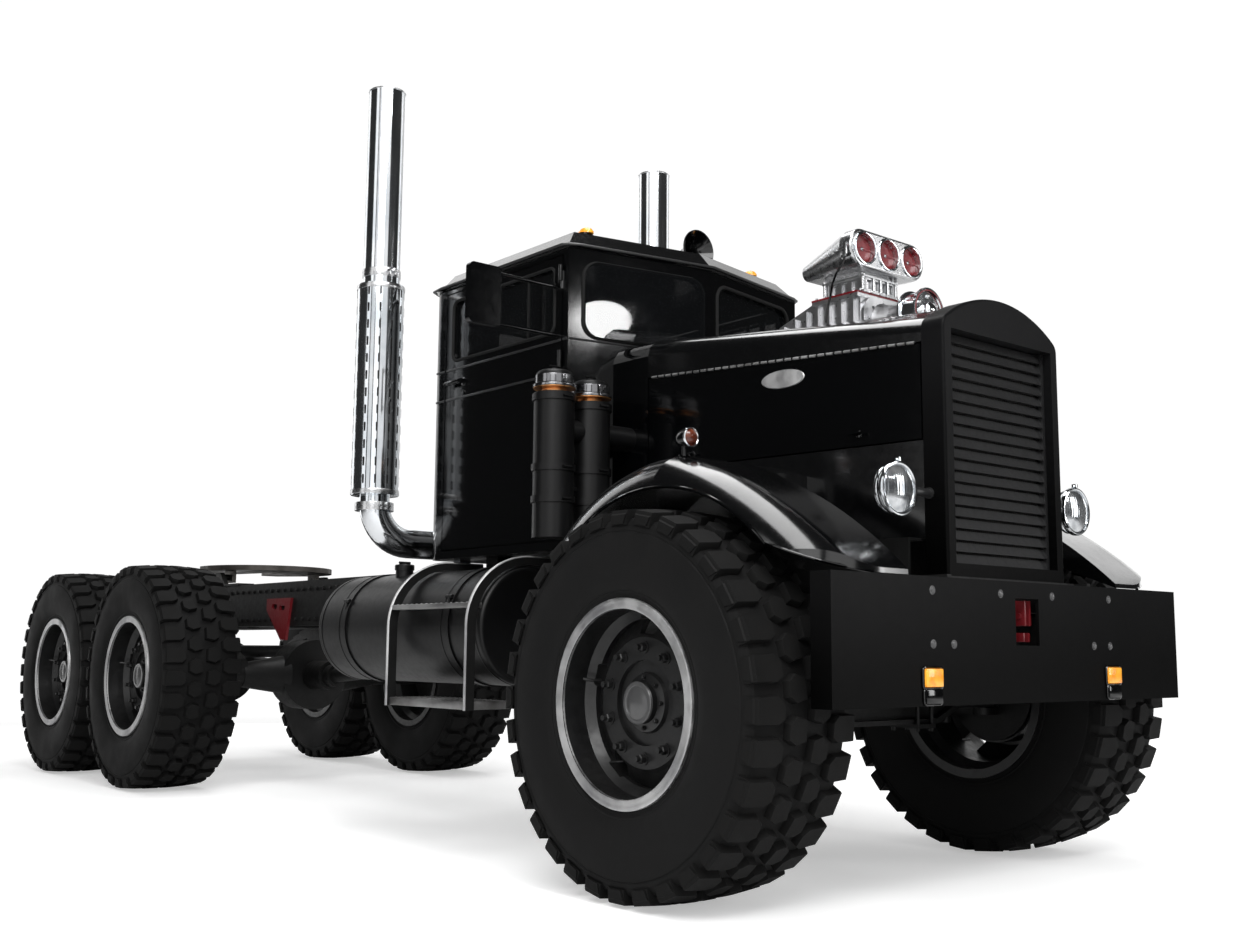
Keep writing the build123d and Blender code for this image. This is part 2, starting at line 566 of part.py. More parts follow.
SLAT_PITCH = (GRILLE_TOP - GRILLE_LOW) / SLATS
SLAT_FRONT = SHELL_FACE + 34
SLAT_BACK = SLAT_FRONT + 24
with BuildPart() as grille:
    with BuildSketch(along(-GRILLE_HALF + 14)):
        for number in range(SLATS):
            low = GRILLE_LOW + number * SLAT_PITCH + 3
            with BuildLine():
                Polyline((st(SLAT_FRONT), low), (st(SLAT_FRONT + 14), low + 34), (st(SLAT_FRONT + 18), low + 34),
                         (st(SLAT_FRONT + 5), low + 4), (st(SLAT_FRONT + 16), low + 4),
                         (st(SLAT_FRONT + 16), low), close=True)
            make_face()
    extrude(amount=2 * GRILLE_HALF - 28)
    for x0, x1 in ((-GRILLE_HALF, -GRILLE_HALF + 14), (GRILLE_HALF - 14, GRILLE_HALF)):
        box(x0, x1, SLAT_FRONT, SLAT_BACK, GRILLE_LOW, GRILLE_TOP)
save(grille, "grille")
with BuildPart() as radiator_core:
    box(-GRILLE_HALF, GRILLE_HALF, SLAT_BACK + 8, SHELL_FACE + SHELL_DEPTH, GRILLE_LOW, GRILLE_TOP)
save(radiator_core, "radiator_core")

# ---- bonnet: fixed top, hinged side panels ----------------------------------------------------
HOOD_FRONT = SHELL_FACE + SHELL_DEPTH
HOOD_HALF_FRONT = SHELL_HALF
HINGE_DROP_GAP = 8.0
BLOWER_HALF = 165.0
BLOWER_HOLE_FRONT = -455.0
BLOWER_HOLE_REAR = 290.0
FRONT_DROPS = (75.0, 147.0, 100.0)      # crown to arc end, crown to shoulder, corner radius
REAR_DROPS = (22.0, 100.0, 86.0)


def hood_section(station, half, hinge_z, top_z, drops, inset):
    """Cross-section of the bonnet top: upright sides, round shoulders, a shallow crown."""
    arc_drop, shoulder_drop, corner_r = drops
    with BuildSketch(across(station)) as section:
        with BuildLine():
            side = half - inset
            crown = top_z - inset
            shoulder = top_z - shoulder_drop
            low = hinge_z - (40 if inset else 0)
            Polyline((-side, shoulder), (-side, low), (side, low), (side, shoulder))
            RadiusArc((side, shoulder), (side - 75, crown - arc_drop), -corner_r)
            ThreePointArc((side - 75, crown - arc_drop), (0, crown), (75 - side, crown - arc_drop))
            RadiusArc((75 - side, crown - arc_drop), (-side, shoulder), -corner_r)
        make_face()
    return section.sketch


with BuildPart() as hood_top:
    loft([hood_section(HOOD_FRONT, HOOD_HALF_FRONT, HINGE_FRONT_Z, HOOD_TOP_FRONT, FRONT_DROPS, 0),
          hood_section(HOOD_REAR, HOOD_HALF_REAR, HINGE_REAR_Z, HOOD_TOP_REAR, REAR_DROPS, 0)], ruled=True)
    loft([hood_section(HOOD_FRONT, HOOD_HALF_FRONT, HINGE_FRONT_Z, HOOD_TOP_FRONT, FRONT_DROPS, HOOD_SKIN),
          hood_section(HOOD_REAR, HOOD_HALF_REAR, HINGE_REAR_Z, HOOD_TOP_REAR, REAR_DROPS, HOOD_SKIN)], ruled=True,
         mode=Mode.SUBTRACT)
    box(-BLOWER_HALF, BLOWER_HALF, BLOWER_HOLE_FRONT, BLOWER_HOLE_REAR, ENGINE_TOP + 20, HOOD_TOP_REAR + 50,
        mode=Mode.SUBTRACT)
save(hood_top, "hood_top")

flare = (HOOD_HALF_REAR - HOOD_HALF_FRONT) / (HOOD_REAR - HOOD_FRONT)
PANEL_FRONT = HOOD_FRONT + 6
PANEL_REAR = HOOD_REAR - 6


def side_x(station):
    """Outer face of the bonnet's side at a station."""
    return HOOD_HALF_FRONT + flare * (station - HOOD_FRONT)


def hinge_z(station):
    return HINGE_FRONT_Z + (HINGE_REAR_Z - HINGE_FRONT_Z) * (station - HOOD_FRONT) / (HOOD_REAR - HOOD_FRONT)


HINGE_OUT = 6.0             # hinge line, outboard of the panel's face
HINGE_UP = 4.0              # and above its top edge
HINGE_BEAD_R = 4.5
LEAF_DROP = 22.0            # height of the hinge's leaf on the panel
PANEL_LEAN = math.sqrt(1 + flare ** 2)


def hinge_point(station):
    """A point on the panel's hinge line."""
    return Vector(side_x(station) + HINGE_OUT * PANEL_LEAN, st(station), hinge_z(station) - HINGE_DROP_GAP + HINGE_UP)


with BuildPart() as hood_panel_left:
    with BuildSketch(along(0)):
        with BuildLine():
            Polyline((st(PANEL_FRONT), PANEL_LOW), (st(PANEL_REAR), PANEL_LOW),
                     (st(PANEL_REAR), hinge_z(PANEL_REAR) - HINGE_DROP_GAP),
                     (st(PANEL_FRONT), hinge_z(PANEL_FRONT) - HINGE_DROP_GAP), close=True)
        make_face()
    extrude(amount=HOOD_HALF_REAR + 50)
    with BuildSketch(Plane.XY.offset(PANEL_LOW)):
        with BuildLine():
            Polyline((side_x(PANEL_FRONT) - HOOD_SKIN, st(PANEL_FRONT)), (side_x(PANEL_FRONT), st(PANEL_FRONT)),
                     (side_x(PANEL_REAR), st(PANEL_REAR)), (side_x(PANEL_REAR) - HOOD_SKIN, st(PANEL_REAR)),
                     close=True)
        make_face()
    extrude(amount=500, mode=Mode.INTERSECT)
    hinge_start = hinge_point(PANEL_FRONT + 12)
    hinge_run = hinge_point(PANEL_REAR - 12) - hinge_start
    hinge_plane = Plane(origin=hinge_start, x_dir=Vector(1, 0, 0), z_dir=hinge_run)
    with BuildSketch(hinge_plane):
        Circle(HINGE_BEAD_R)
        with Locations((-HINGE_OUT, LEAF_DROP / 2)):
            Rectangle(5, LEAF_DROP)
    extrude(amount=hinge_run.length)
save(hood_panel_left, "hood_panel_left")
with BuildPart() as hood_panel_right:
    mirror(hood_panel_left.part, about=Plane.YZ)
save(hood_panel_right, "hood_panel_right")

# ---- front fenders with their aprons --------------------------------------------------------------
FENDER_REAR_Z = 890.0
ARCH_R = 752.0              # wheel opening in the fender's outer wall
NOSE_ST = -790.0
NOSE_Z = 1122.0
NOSE_CORNER_R = 300.0
FENDER_EDGE_R = 165.0       # crowned outer side
FENDER_IN = 640.0           # inner edge, beside the headlamp
CATWALK_ST = -150.0         # behind here the fender runs in to the bonnet's side


def fender_block(inset, low):
    """Side profile of the fender, drawn in by inset, run out to its outer edge, which is rounded."""
    r = FENDER_R - inset
    rear = math.sqrt(r ** 2 - (FENDER_REAR_Z - AXLE_Z) ** 2)
    top = (st(0), AXLE_Z + r)
    back = (st(rear), FENDER_REAR_Z)
    nose = (st(NOSE_ST - 12 + inset / 2), NOSE_Z - 10 - inset / 2)
    slant = math.radians(40)
    with BuildPart() as block:
        with BuildSketch(along(300)):
            with BuildLine():
                ThreePointArc(back, (st(r * math.sin(slant)), AXLE_Z + r * math.cos(slant)), top)
                ThreePointArc(top, (st(-500 + inset * 0.7), 1343 - inset * 0.7), nose)
                Polyline(nose, (nose[0], NOSE_Z - 20 - low), (st(-700), 1140 - low), (st(-560), 1193 - low),
                         (st(-510), 1204 - low), (st(-470), 1180 - low), (st(0), FENDER_REAR_Z - low),
                         (back[0], FENDER_REAR_Z - 0.5 - low), back)
            make_face()
        extrude(amount=FENDER_OUT - inset - 300)
        outer = block.faces().sort_by(Axis.X)[-1].edges().filter_by(GeomType.CIRCLE)
        fillet(outer, FENDER_EDGE_R - inset)
    return block.part


def fender_plan(inset):
    """Plan outline of the fender with its rounded nose, as an upright prism."""
    with BuildPart() as prism:
        with BuildSketch(Plane.XY.offset(600)):
            with BuildLine():
                out = FENDER_OUT - inset
                inner = FENDER_IN + inset
                front = NOSE_ST + inset
                walk = CATWALK_ST + inset
                r = NOSE_CORNER_R - inset
                Polyline((out, st(front + r)), (out, st(1000)), (200, st(1000)), (200, st(walk)),
                         (inner - 110, st(walk)))
                RadiusArc((inner - 110, st(walk)), (inner, st(walk - 110)), 110)
                Polyline((inner, st(walk - 110)), (inner, st(front)), (out - r, st(front)))
                RadiusArc((out - r, st(front)), (out, st(front + r)), -r)
            make_face()
        extrude(amount=1100)
    return prism.part


fender_outside = fender_block(0, 0)
fender_inside = fender_block(FENDER_T, 350)
plan_outside = fender_plan(0)
plan_inside = fender_plan(FENDER_T)
with BuildPart() as front_fenders:
    add(fender_outside)
    add(fender_inside.intersect(plan_inside), mode=Mode.SUBTRACT)
    add(plan_outside, mode=Mode.INTERSECT)
    rod(200, FENDER_OUT + 100, 0, AXLE_Z, ARCH_R, mode=Mode.SUBTRACT)
    with BuildSketch(Plane.XY.offset(600)):
        with BuildLine():
            Polyline((0, st(-900)), (side_x(-900) - HOOD_SKIN, st(-900)), (side_x(1000) - HOOD_SKIN, st(1000)),
                     (0, st(1000)), close=True)
        make_face()
    extrude(amount=1200, mode=Mode.SUBTRACT)
    with BuildSketch(Plane.XY.offset(RAIL_TOP)):
        with BuildLine():
            Polyline((side_x(HOOD_FRONT) - HOOD_SKIN, st(HOOD_FRONT)), (side_x(HOOD_FRONT), st(HOOD_FRONT)),
                     (side_x(HOOD_REAR), st(HOOD_REAR)), (side_x(HOOD_REAR) - HOOD_SKIN, st(HOOD_REAR)),
                     close=True)
        make_face()
    extrude(amount=PANEL_LOW - 6 - RAIL_TOP)
    mirror(about=Plane.YZ)
save(front_fenders, "front_fenders")

# ---- lamps ---------------------------------------------------------------------------------------
LAMP_X = 549.0
LAMP_Z = 1405.0
LAMP_FACE = -706.0
LAMP_R = 92.0               # bezel
BUCKET_R = 85.0
BUCKET_TAIL_R = 70.0
LAMP_BACK = -578.0
LAMP_ARM_ST = -672.0
with BuildPart() as headlamps:
    with BuildSketch(Plane(origin=(LAMP_X, 0, LAMP_Z), x_dir=(0, 1, 0), z_dir=(1, 0, 0))):
        with BuildLine():
            ThreePointArc((st(LAMP_FACE), 0), (st(LAMP_FACE + 5), 45), (st(LAMP_FACE + 20), BUCKET_R))
            Polyline((st(LAMP_FACE + 20), BUCKET_R), (st(LAMP_FACE + 16), LAMP_R), (st(LAMP_FACE + 30), LAMP_R),
                     (st(LAMP_FACE + 34), BUCKET_R), (st(LAMP_BACK - 20), BUCKET_TAIL_R))
            ThreePointArc((st(LAMP_BACK - 20), BUCKET_TAIL_R), (st(LAMP_BACK - 8), BUCKET_TAIL_R - 10),
                          (st(LAMP_BACK), BUCKET_TAIL_R - 32))
            Polyline((st(LAMP_BACK), BUCKET_TAIL_R - 32), (st(LAMP_BACK), 0), (st(LAMP_FACE), 0))
        make_face()
    revolve(axis=Axis((LAMP_X, 0, LAMP_Z), (0, 1, 0)))
    post(LAMP_X, LAMP_FACE + 24, LAMP_Z + LAMP_R - 6, LAMP_Z + LAMP_R + 8, 6)
    rod(SHELL_HALF, LAMP_X - 60, LAMP_ARM_ST, LAMP_Z, 15)
    rod(SHELL_HALF, SHELL_HALF + 8, LAMP_ARM_ST, LAMP_Z, 20)
    mirror(about=Plane.YZ)
save(headlamps, "headlamps")


# ---- cab ---------------------------------------------------------------------------------------------
def cab_outline(inset, corner_r):
    """Plan of the cab as a face: V front, straight sides, rounded rear corners."""
    with BuildSketch() as outline:
        with BuildLine():
            half = CAB_HALF - inset
            Polyline((0, st(CAB_NOSE + inset)), (half, st(CAB_CORNER + inset * 0.9)), (half, st(CAB_BACK - inset)),
                     (-half, st(CAB_BACK - inset)), (-half, st(CAB_CORNER + inset * 0.9)),
                     (0, st(CAB_NOSE + inset)))
        make_face()
        fillet(outline.vertices().group_by(Axis.Y)[-1], corner_r)
    return outline.sketch


V_ANGLE = math.degrees(math.atan2(CAB_CORNER - CAB_NOSE, CAB_HALF))
PANE_IN = 45.0
PANE_OUT = 660.0
PANE_LOW = 2200.0
PANE_TOP = 2535.0
PANE_R = 70.0


def screen_plane(side):
    """Plane of one half of the windscreen wall, origin on the centre post, local X outward."""
    return Plane(origin=(0, st(CAB_NOSE), 0),
                 x_dir=(side * CAB_HALF, CAB_CORNER - CAB_NOSE, 0), z_dir=(CAB_CORNER - CAB_NOSE, -side * CAB_HALF, 0))


BACK_GLASS_HALF = 340.0
BACK_GLASS_LOW = 2215.0
BACK_GLASS_TOP = 2475.0
COWL_REACH = CAB_CORNER + 40 - HOOD_REAR
COWL_LOW = RAIL_TOP + 20
with BuildPart() as cowl:
    extrude(hood_section(HOOD_REAR, HOOD_HALF_REAR, COWL_LOW, HOOD_TOP_REAR, REAR_DROPS, 0), amount=-COWL_REACH)
    extrude(hood_section(HOOD_REAR, HOOD_HALF_REAR, COWL_LOW, HOOD_TOP_REAR, REAR_DROPS, HOOD_SKIN),
            amount=-COWL_REACH, mode=Mode.SUBTRACT)
    extrude(cab_outline(1, REAR_CORNER_R).moved(Location((0, 0, RAIL_TOP))), amount=1400, mode=Mode.SUBTRACT)
with BuildPart() as cab_body:
    extrude(cab_outline(0, REAR_CORNER_R).moved(Location((0, 0, CAB_FLOOR))), amount=CAB_EAVE - CAB_FLOOR)
    extrude(cab_outline(WALL, REAR_CORNER_R - WALL).moved(Location((0, 0, CAB_FLOOR + 40))),
            amount=CAB_EAVE - CAB_FLOOR, mode=Mode.SUBTRACT)
    for side in (-1, 1):
        box(side * (CAB_HALF - WALL - 30), side * (CAB_HALF + 20), DOOR_FRONT - DOOR_GAP, DOOR_REAR + DOOR_GAP,
            DOOR_LOW - DOOR_GAP, DOOR_TOP + DOOR_GAP, mode=Mode.SUBTRACT)
        with BuildSketch(screen_plane(side)) as pane:
            with Locations(((PANE_IN + PANE_OUT) / 2, (PANE_LOW + PANE_TOP) / 2)):
                RectangleRounded(PANE_OUT - PANE_IN, PANE_TOP - PANE_LOW, PANE_R)
        extrude(amount=120, both=True, mode=Mode.SUBTRACT)
    with BuildSketch(across(CAB_BACK + 20)):
        with Locations((0, (BACK_GLASS_LOW + BACK_GLASS_TOP) / 2)):
            RectangleRounded(2 * BACK_GLASS_HALF, BACK_GLASS_TOP - BACK_GLASS_LOW, 45)
    extrude(amount=120, mode=Mode.SUBTRACT)
    for side in (-1, 1):
        for station in (1050, 1900):
            box(side * RAIL_IN, side * RAIL_OUT, station - 50, station + 50, RAIL_TOP, CAB_FLOOR)
    add(cowl.part)
save(cab_body, "cab_body")

ROOF_TOP = CAB_EAVE + ROOF_RISE
with BuildPart() as cab_roof:
    extrude(cab_outline(-10, REAR_CORNER_R + 10).moved(Location((0, 0, CAB_EAVE))), amount=12)
    extrude(cab_outline(2, REAR_CORNER_R - 2).moved(Location((0, 0, CAB_EAVE + 12))),
            amount=ROOF_RISE - 12, taper=42)
    extrude(cab_outline(WALL, REAR_CORNER_R - WALL).moved(Location((0, 0, CAB_EAVE))),
            amount=ROOF_RISE - 36, taper=42, mode=Mode.SUBTRACT)
save(cab_roof, "cab_roof")

ROOF_LAMP_X = 526.0
ROOF_LAMP_ST = 1083.0
FENDER_LAMP_X = 905.0
FENDER_LAMP_H = 56.0
with BuildPart() as marker_lamps:
    for side in (-1, 1):
        box(side * 540, side * 590, BUMPER_FACE - LAMP_PROUD, BUMPER_FACE, 740, 800)
        post(side * ROOF_LAMP_X, ROOF_LAMP_ST, ROOF_TOP, ROOF_TOP + 30, 30)
        post(side * FENDER_LAMP_X, 0, AXLE_Z + FENDER_R - FENDER_T / 2, AXLE_Z + FENDER_R + FENDER_LAMP_H, 24)
    add(front_fenders.part, mode=Mode.SUBTRACT)
save(marker_lamps, "marker_lamps")


PANE_SET = 16.0             # depth of the glass behind the outside of the pillar
with BuildPart() as cab_glass:
    for side in (-1, 1):
        with BuildSketch(screen_plane(side).offset(-PANE_SET)):
            with Locations(((PANE_IN + PANE_OUT) / 2, (PANE_LOW + PANE_TOP) / 2)):
                RectangleRounded(PANE_OUT - PANE_IN, PANE_TOP - PANE_LOW, PANE_R)
        extrude(amount=-GLASS_T)
    with BuildSketch(across(CAB_BACK - 14)):
        with Locations((0, (BACK_GLASS_LOW + BACK_GLASS_TOP) / 2)):
            RectangleRounded(2 * BACK_GLASS_HALF, BACK_GLASS_TOP - BACK_GLASS_LOW, 45)
    extrude(amount=GLASS_T)
save(cab_glass, "cab_glass")

# ---- doors, their glass and mirrors ----------------------------------------------------------------
DOOR_T = 42.0
POCKET_T = 16.0             # depth of the recess in the door's inner face
HINGE_X = CAB_HALF + 13
HINGE_ST = DOOR_FRONT - 4
WINDOW_R = 38.0
VENT_ST = 1150.0            # upright between the vent pane and the drop glass
MIRROR_X0 = 1050.0
MIRROR_X1 = 1210.0
MIRROR_ST = 985.0
MIRROR_LOW = 2185.0
MIRROR_TOP = 2440.0
with BuildPart() as door_left:
    box(CAB_HALF - DOOR_T, CAB_HALF, DOOR_FRONT, DOOR_REAR, DOOR_LOW, DOOR_TOP)
    with BuildSketch(along(CAB_HALF + 5)):
        with Locations((st((WINDOW_FRONT + WINDOW_REAR) / 2), (WINDOW_LOW + WINDOW_TOP) / 2)):
            RectangleRounded(WINDOW_REAR - WINDOW_FRONT, WINDOW_TOP - WINDOW_LOW, WINDOW_R)
    extrude(amount=-DOOR_T - 10, mode=Mode.SUBTRACT)
    box(CAB_HALF - DOOR_T - 1, CAB_HALF - DOOR_T + POCKET_T, DOOR_FRONT + 90, DOOR_REAR - 90,
        DOOR_LOW + 80, DOOR_LOW + 430, mode=Mode.SUBTRACT)
    box(CAB_HALF - 30, CAB_HALF - 8, VENT_ST - 9, VENT_ST + 9, WINDOW_LOW - 2, WINDOW_TOP + 2)
    for z in (1450, 2100, 2480):
        post(HINGE_X, HINGE_ST, z - 35, z + 35, 10)
        box(CAB_HALF, HINGE_X, HINGE_ST + 6, HINGE_ST + 40, z - 35, z + 35)
    box(CAB_HALF, CAB_HALF + 30, 1720, 1740, 2102, 2122)
    box(CAB_HALF + 22, CAB_HALF + 34, 1720, 1860, 2102, 2122)
    for z in (MIRROR_LOW + 20, MIRROR_TOP - 20):
        rod(CAB_HALF, MIRROR_X0 + 30, MIRROR_ST + 22, z, 9)
    with BuildSketch(across(MIRROR_ST + 14)):
        with Locations(((MIRROR_X0 + MIRROR_X1) / 2, (MIRROR_LOW + MIRROR_TOP) / 2)):
            RectangleRounded(MIRROR_X1 - MIRROR_X0, MIRROR_TOP - MIRROR_LOW, 22)
    extrude(amount=28)
save(door_left, "door_left")
with BuildPart() as door_right:
    mirror(door_left.part, about=Plane.YZ)
save(door_right, "door_right")
with BuildPart() as door_glass_left:
    with BuildSketch(along(CAB_HALF - 22)):
        with Locations((st((WINDOW_FRONT + WINDOW_REAR) / 2), (WINDOW_LOW + WINDOW_TOP) / 2)):
            RectangleRounded(WINDOW_REAR - WINDOW_FRONT, WINDOW_TOP - WINDOW_LOW, WINDOW_R)
    extrude(amount=GLASS_T)
    box(CAB_HALF - 32, CAB_HALF - 6, VENT_ST - 9, VENT_ST + 9, WINDOW_LOW - 2, WINDOW_TOP + 2,
        mode=Mode.SUBTRACT)
save(door_glass_left, "door_glass_left")
with BuildPart() as door_glass_right:
    mirror(door_glass_left.part, about=Plane.YZ)
save(door_glass_right, "door_glass_right")

# ---- inside the cab --------------------------------------------------------------------------------
SEAT_HALF = (CAB_HALF - WALL - 93 - 95) / 2      # between the door and the middle of the cab
SEAT_X = 95 + SEAT_HALF
FLOOR_Z = CAB_FLOOR + 40
SEAT_TOP_Z = FLOOR_Z + 290
CUSHION_T = 120.0
CUSHION_R = 30.0
with BuildPart() as seat_frames:
    for side in (-1, 1):
        with BuildSketch(Plane.XY.offset(FLOOR_Z)):
            with Locations((side * SEAT_X, st(1700))):
                RectangleRounded(380, 400, 40)
        extrude(amount=SEAT_TOP_Z - 40 - FLOOR_Z, taper=7)
        box(side * SEAT_X - SEAT_HALF + 30, side * SEAT_X + SEAT_HALF - 30, 1470, 1875, SEAT_TOP_Z - 42, SEAT_TOP_Z)
save(seat_frames, "seat_frames")
with BuildPart() as seat_cushions:
    for side in (-1, 1):
        box(side * SEAT_X - SEAT_HALF, side * SEAT_X + SEAT_HALF, 1450, 1880, SEAT_TOP_Z, SEAT_TOP_Z + CUSHION_T)
        box(side * SEAT_X - SEAT_HALF + 5, side * SEAT_X + SEAT_HALF - 5, 1882, 1995, SEAT_TOP_Z + 40, FLOOR_Z + 900)
    fillet(seat_cushions.edges(), CUSHION_R)
save(seat_cushions, "seat_cushions")
WHEEL_X = SEAT_X
WHEEL_ST = 1370.0
WHEEL_Z = 2010.0
COLUMN_TILT = 40.0          # degrees of the column's axis behind upright
column_dir = Vector(0, math.sin(math.radians(COLUMN_TILT)), math.cos(math.radians(COLUMN_TILT)))
column_top = Vector(WHEEL_X, st(WHEEL_ST), WHEEL_Z)
wheel_plane = Plane(origin=column_top, x_dir=(1, 0, 0), z_dir=column_dir)
with BuildPart() as steering_wheel:
    with BuildSketch(Plane(origin=column_top, x_dir=wheel_plane.x_dir, z_dir=wheel_plane.y_dir)):
        with Locations((245, 0)):
            Circle(14)
    revolve(axis=Axis(column_top, column_dir))
    with BuildSketch(wheel_plane.offset(-30)):
        Circle(42)
    extrude(amount=40)
    with BuildSketch(wheel_plane.offset(-8)):
        with PolarLocations(140, 3, start_angle=90):
            Rectangle(215, 26)
    extrude(amount=12)
save(steering_wheel, "steering_wheel")
with BuildPart() as dashboard:
    with BuildSketch(along(-CAB_HALF + WALL)):
        with BuildLine():
            Polyline((st(CAB_NOSE), 2170), (st(1130), 2130), (st(1150), 2080), (st(1100), 1930),
                     (st(CAB_NOSE), 1900), close=True)
        make_face()
    extrude(amount=2 * (CAB_HALF - WALL))
    with BuildSketch(wheel_plane.offset(-35)):
        Circle(26)
    extrude(amount=-900)
    extrude(cab_outline(WALL, REAR_CORNER_R - WALL).moved(Location((0, 0, FLOOR_Z))), amount=1200,
            mode=Mode.INTERSECT)
save(dashboard, "dashboard")

# ---- tanks and steps -----------------------------------------------------------------------------
STRAP_STATIONS = (1420.0, 2330.0)
with BuildPart() as fuel_tanks:
    bar(TANK_X, TANK_FRONT, TANK_REAR, TANK_Z, TANK_R)
    fillet(fuel_tanks.edges().filter_by(GeomType.CIRCLE), 22)
    for station in STRAP_STATIONS:
        bar(TANK_X, station - 30, station + 30, TANK_Z, TANK_R + 5)
        box(RAIL_OUT, TANK_X, station - 30, station + 30, RAIL_LOW + 20, RAIL_TOP - 60)
    post(TANK_X + 60, 2100, TANK_Z + 200, TANK_Z + TANK_R + 30, 42)
    mirror(about=Plane.YZ)
save(fuel_tanks, "fuel_tanks")

STEP_FRONT = 1195.0
STEP_REAR = 1835.0
STEP_OUT = TANK_X + TANK_R + 62
STEP_TOP = TANK_Z + TANK_R + 5 + TANK_CLEAR
STEP_LOW = 600.0
BAR_T = 8.0
STEP_SLOTS = (1300.0, 1408.0, 1515.0, 1622.0, 1730.0)
with BuildPart() as tank_steps:
    for station in (STEP_FRONT + 22, STEP_REAR - 22):
        with BuildSketch(across(station + 22)) as hoop:
            with BuildLine():
                FilletPolyline((RAIL_OUT + BAR_T / 2, STEP_TOP + BAR_T / 2),
                               (STEP_OUT - 40, STEP_TOP + BAR_T / 2 - 10),
                               (STEP_OUT - BAR_T / 2, STEP_LOW), (STEP_OUT - 260, STEP_LOW), radius=45)
                offset(amount=BAR_T / 2)
            make_face()
        extrude(amount=44)
    for x0, z0 in ((STEP_OUT - 58, 1022), (STEP_OUT - 240, STEP_LOW - 2)):
        box(x0, STEP_OUT - 12, STEP_FRONT + 40, STEP_REAR - 40, z0, z0 + 12)
    for station in STEP_SLOTS:
        box(STEP_OUT - 205, STEP_OUT - 45, station - 30, station + 30, STEP_LOW - 20, STEP_LOW + 20,
            mode=Mode.SUBTRACT)
    mirror(about=Plane.YZ)
save(tank_steps, "tank_steps")

# ---- exhaust ----------------------------------------------------------------------------------------
ELBOW_R = 190.0
STACK_WALL = 5.0
with BuildPart() as exhaust_stacks:
    with BuildLine(Plane.XZ.offset(-st(STACK_ST))) as run:
        FilletPolyline((0, PIPE_Z), (STACK_X, PIPE_Z), (STACK_X, SHIELD_LOW + 20), radius=ELBOW_R)
    with BuildSketch(Plane(origin=(0, st(STACK_ST), PIPE_Z), z_dir=(1, 0, 0))):
        Circle(PIPE_R)
    sweep()
    post(STACK_X, STACK_ST, SHIELD_LOW, SHIELD_TOP, SHIELD_R)
    post(STACK_X, STACK_ST, SHIELD_TOP, STACK_TOP, STACK_R)
    post(STACK_X, STACK_ST, SHIELD_TOP, STACK_TOP + 1, STACK_R - STACK_WALL, mode=Mode.SUBTRACT)
    box(RAIL_IN + 10, RAIL_OUT - 10, STACK_ST - 30, STACK_ST + 30, RAIL_TOP, PIPE_Z - PIPE_R + 25)
    mirror(about=Plane.YZ)
save(exhaust_stacks, "exhaust_stacks")

# ---- air cleaners ------------------------------------------------------------------------------------
CLEANER_ST = 790.0
CLEANER_R = 84.0
CLEANERS = ((902.0, 1895.0), (712.0, 1875.0))      # x, height of the body's top
with BuildPart() as air_cleaners:
    for x, top in CLEANERS:
        post(x, CLEANER_ST, 1300, top, CLEANER_R)
        for z in (1455, 1585, top - 20):
            post(x, CLEANER_ST, z - 14, z + 14, CLEANER_R + 7)
        post(x, CLEANER_ST, top, top + 30, 50)
        with BuildSketch(Plane(origin=(x, st(CLEANER_ST), top), x_dir=(1, 0, 0), z_dir=(0, -1, 0))) as cap:
            with BuildLine():
                Polyline((0, 22), (CLEANER_R + 4, 22), (CLEANER_R + 4, 34), (CLEANER_R - 6, 40), (CLEANER_R - 6, 74))
                ThreePointArc((CLEANER_R - 6, 74), (CLEANER_R - 14, 88), (CLEANER_R - 34, 95))
                Polyline((CLEANER_R - 34, 95), (0, 99), (0, 22))
            make_face()
        revolve(cap.sketch, axis=Axis((x, st(CLEANER_ST), 0), (0, 0, 1)))
    rod(HOOD_HALF_REAR, CLEANERS[0][0], CLEANER_ST, 1745, 52)
    box(HOOD_HALF_REAR, CLEANERS[0][0], CLEANER_ST - 20, CLEANER_ST + 20, 1500, 1516)
    mirror(about=Plane.YZ)
save(air_cleaners, "air_cleaners")

# ---- blower, its pulley, the adapter and the scoop ------------------------------------------------------
CASE_HALF = 140.0
RIB_DEPTH = 16.0
RIB_T = 15.0
RIBS = (-150.0, -88.0, -26.0, 36.0, 98.0, 160.0, 222.0)         # stations
CASE_FRONT = -180.0
CASE_BACK = 257.0
CASE_TOP = 2268.0
CASE_SLOPE_ST = 60.0        # behind here the case falls to its back
CASE_BACK_TOP = 2200.0
GASKET_T = 8.0
PLATE_DEPTH = 16.0          # front bearing plate
NOSE_R = 56.0
PULLEY_Z = 2165.0
PULLEY_FRONT = -420.0
PULLEY_LENGTH = 84.0
PULLEY_R = 95.0
ADAPTER_HALF = 98.0
ADAPTER_BACK = 24.0
ADAPTER_TOP = 2346.0
PORTS = (-66.0, -22.0, 22.0, 66.0)
SCOOP_FRONT = -226.0
SCOOP_REAR = 92.0
SCOOP_BARREL = 60.0
SCOOP_HALF = 230.0
SCOOP_H = 155.0
SCOOP_Z = 2435.0
TAIL_HALF = 160.0
TAIL_H = 64.0
TAIL_Z = 2398.0
MOUTHS = (-145.0, 0.0, 145.0)
MOUTH_R = 58.0
MOUTH_DEPTH = 120.0
FLAP_ST = SCOOP_FRONT + 22
FLAP_SHAFT_R = 5.0


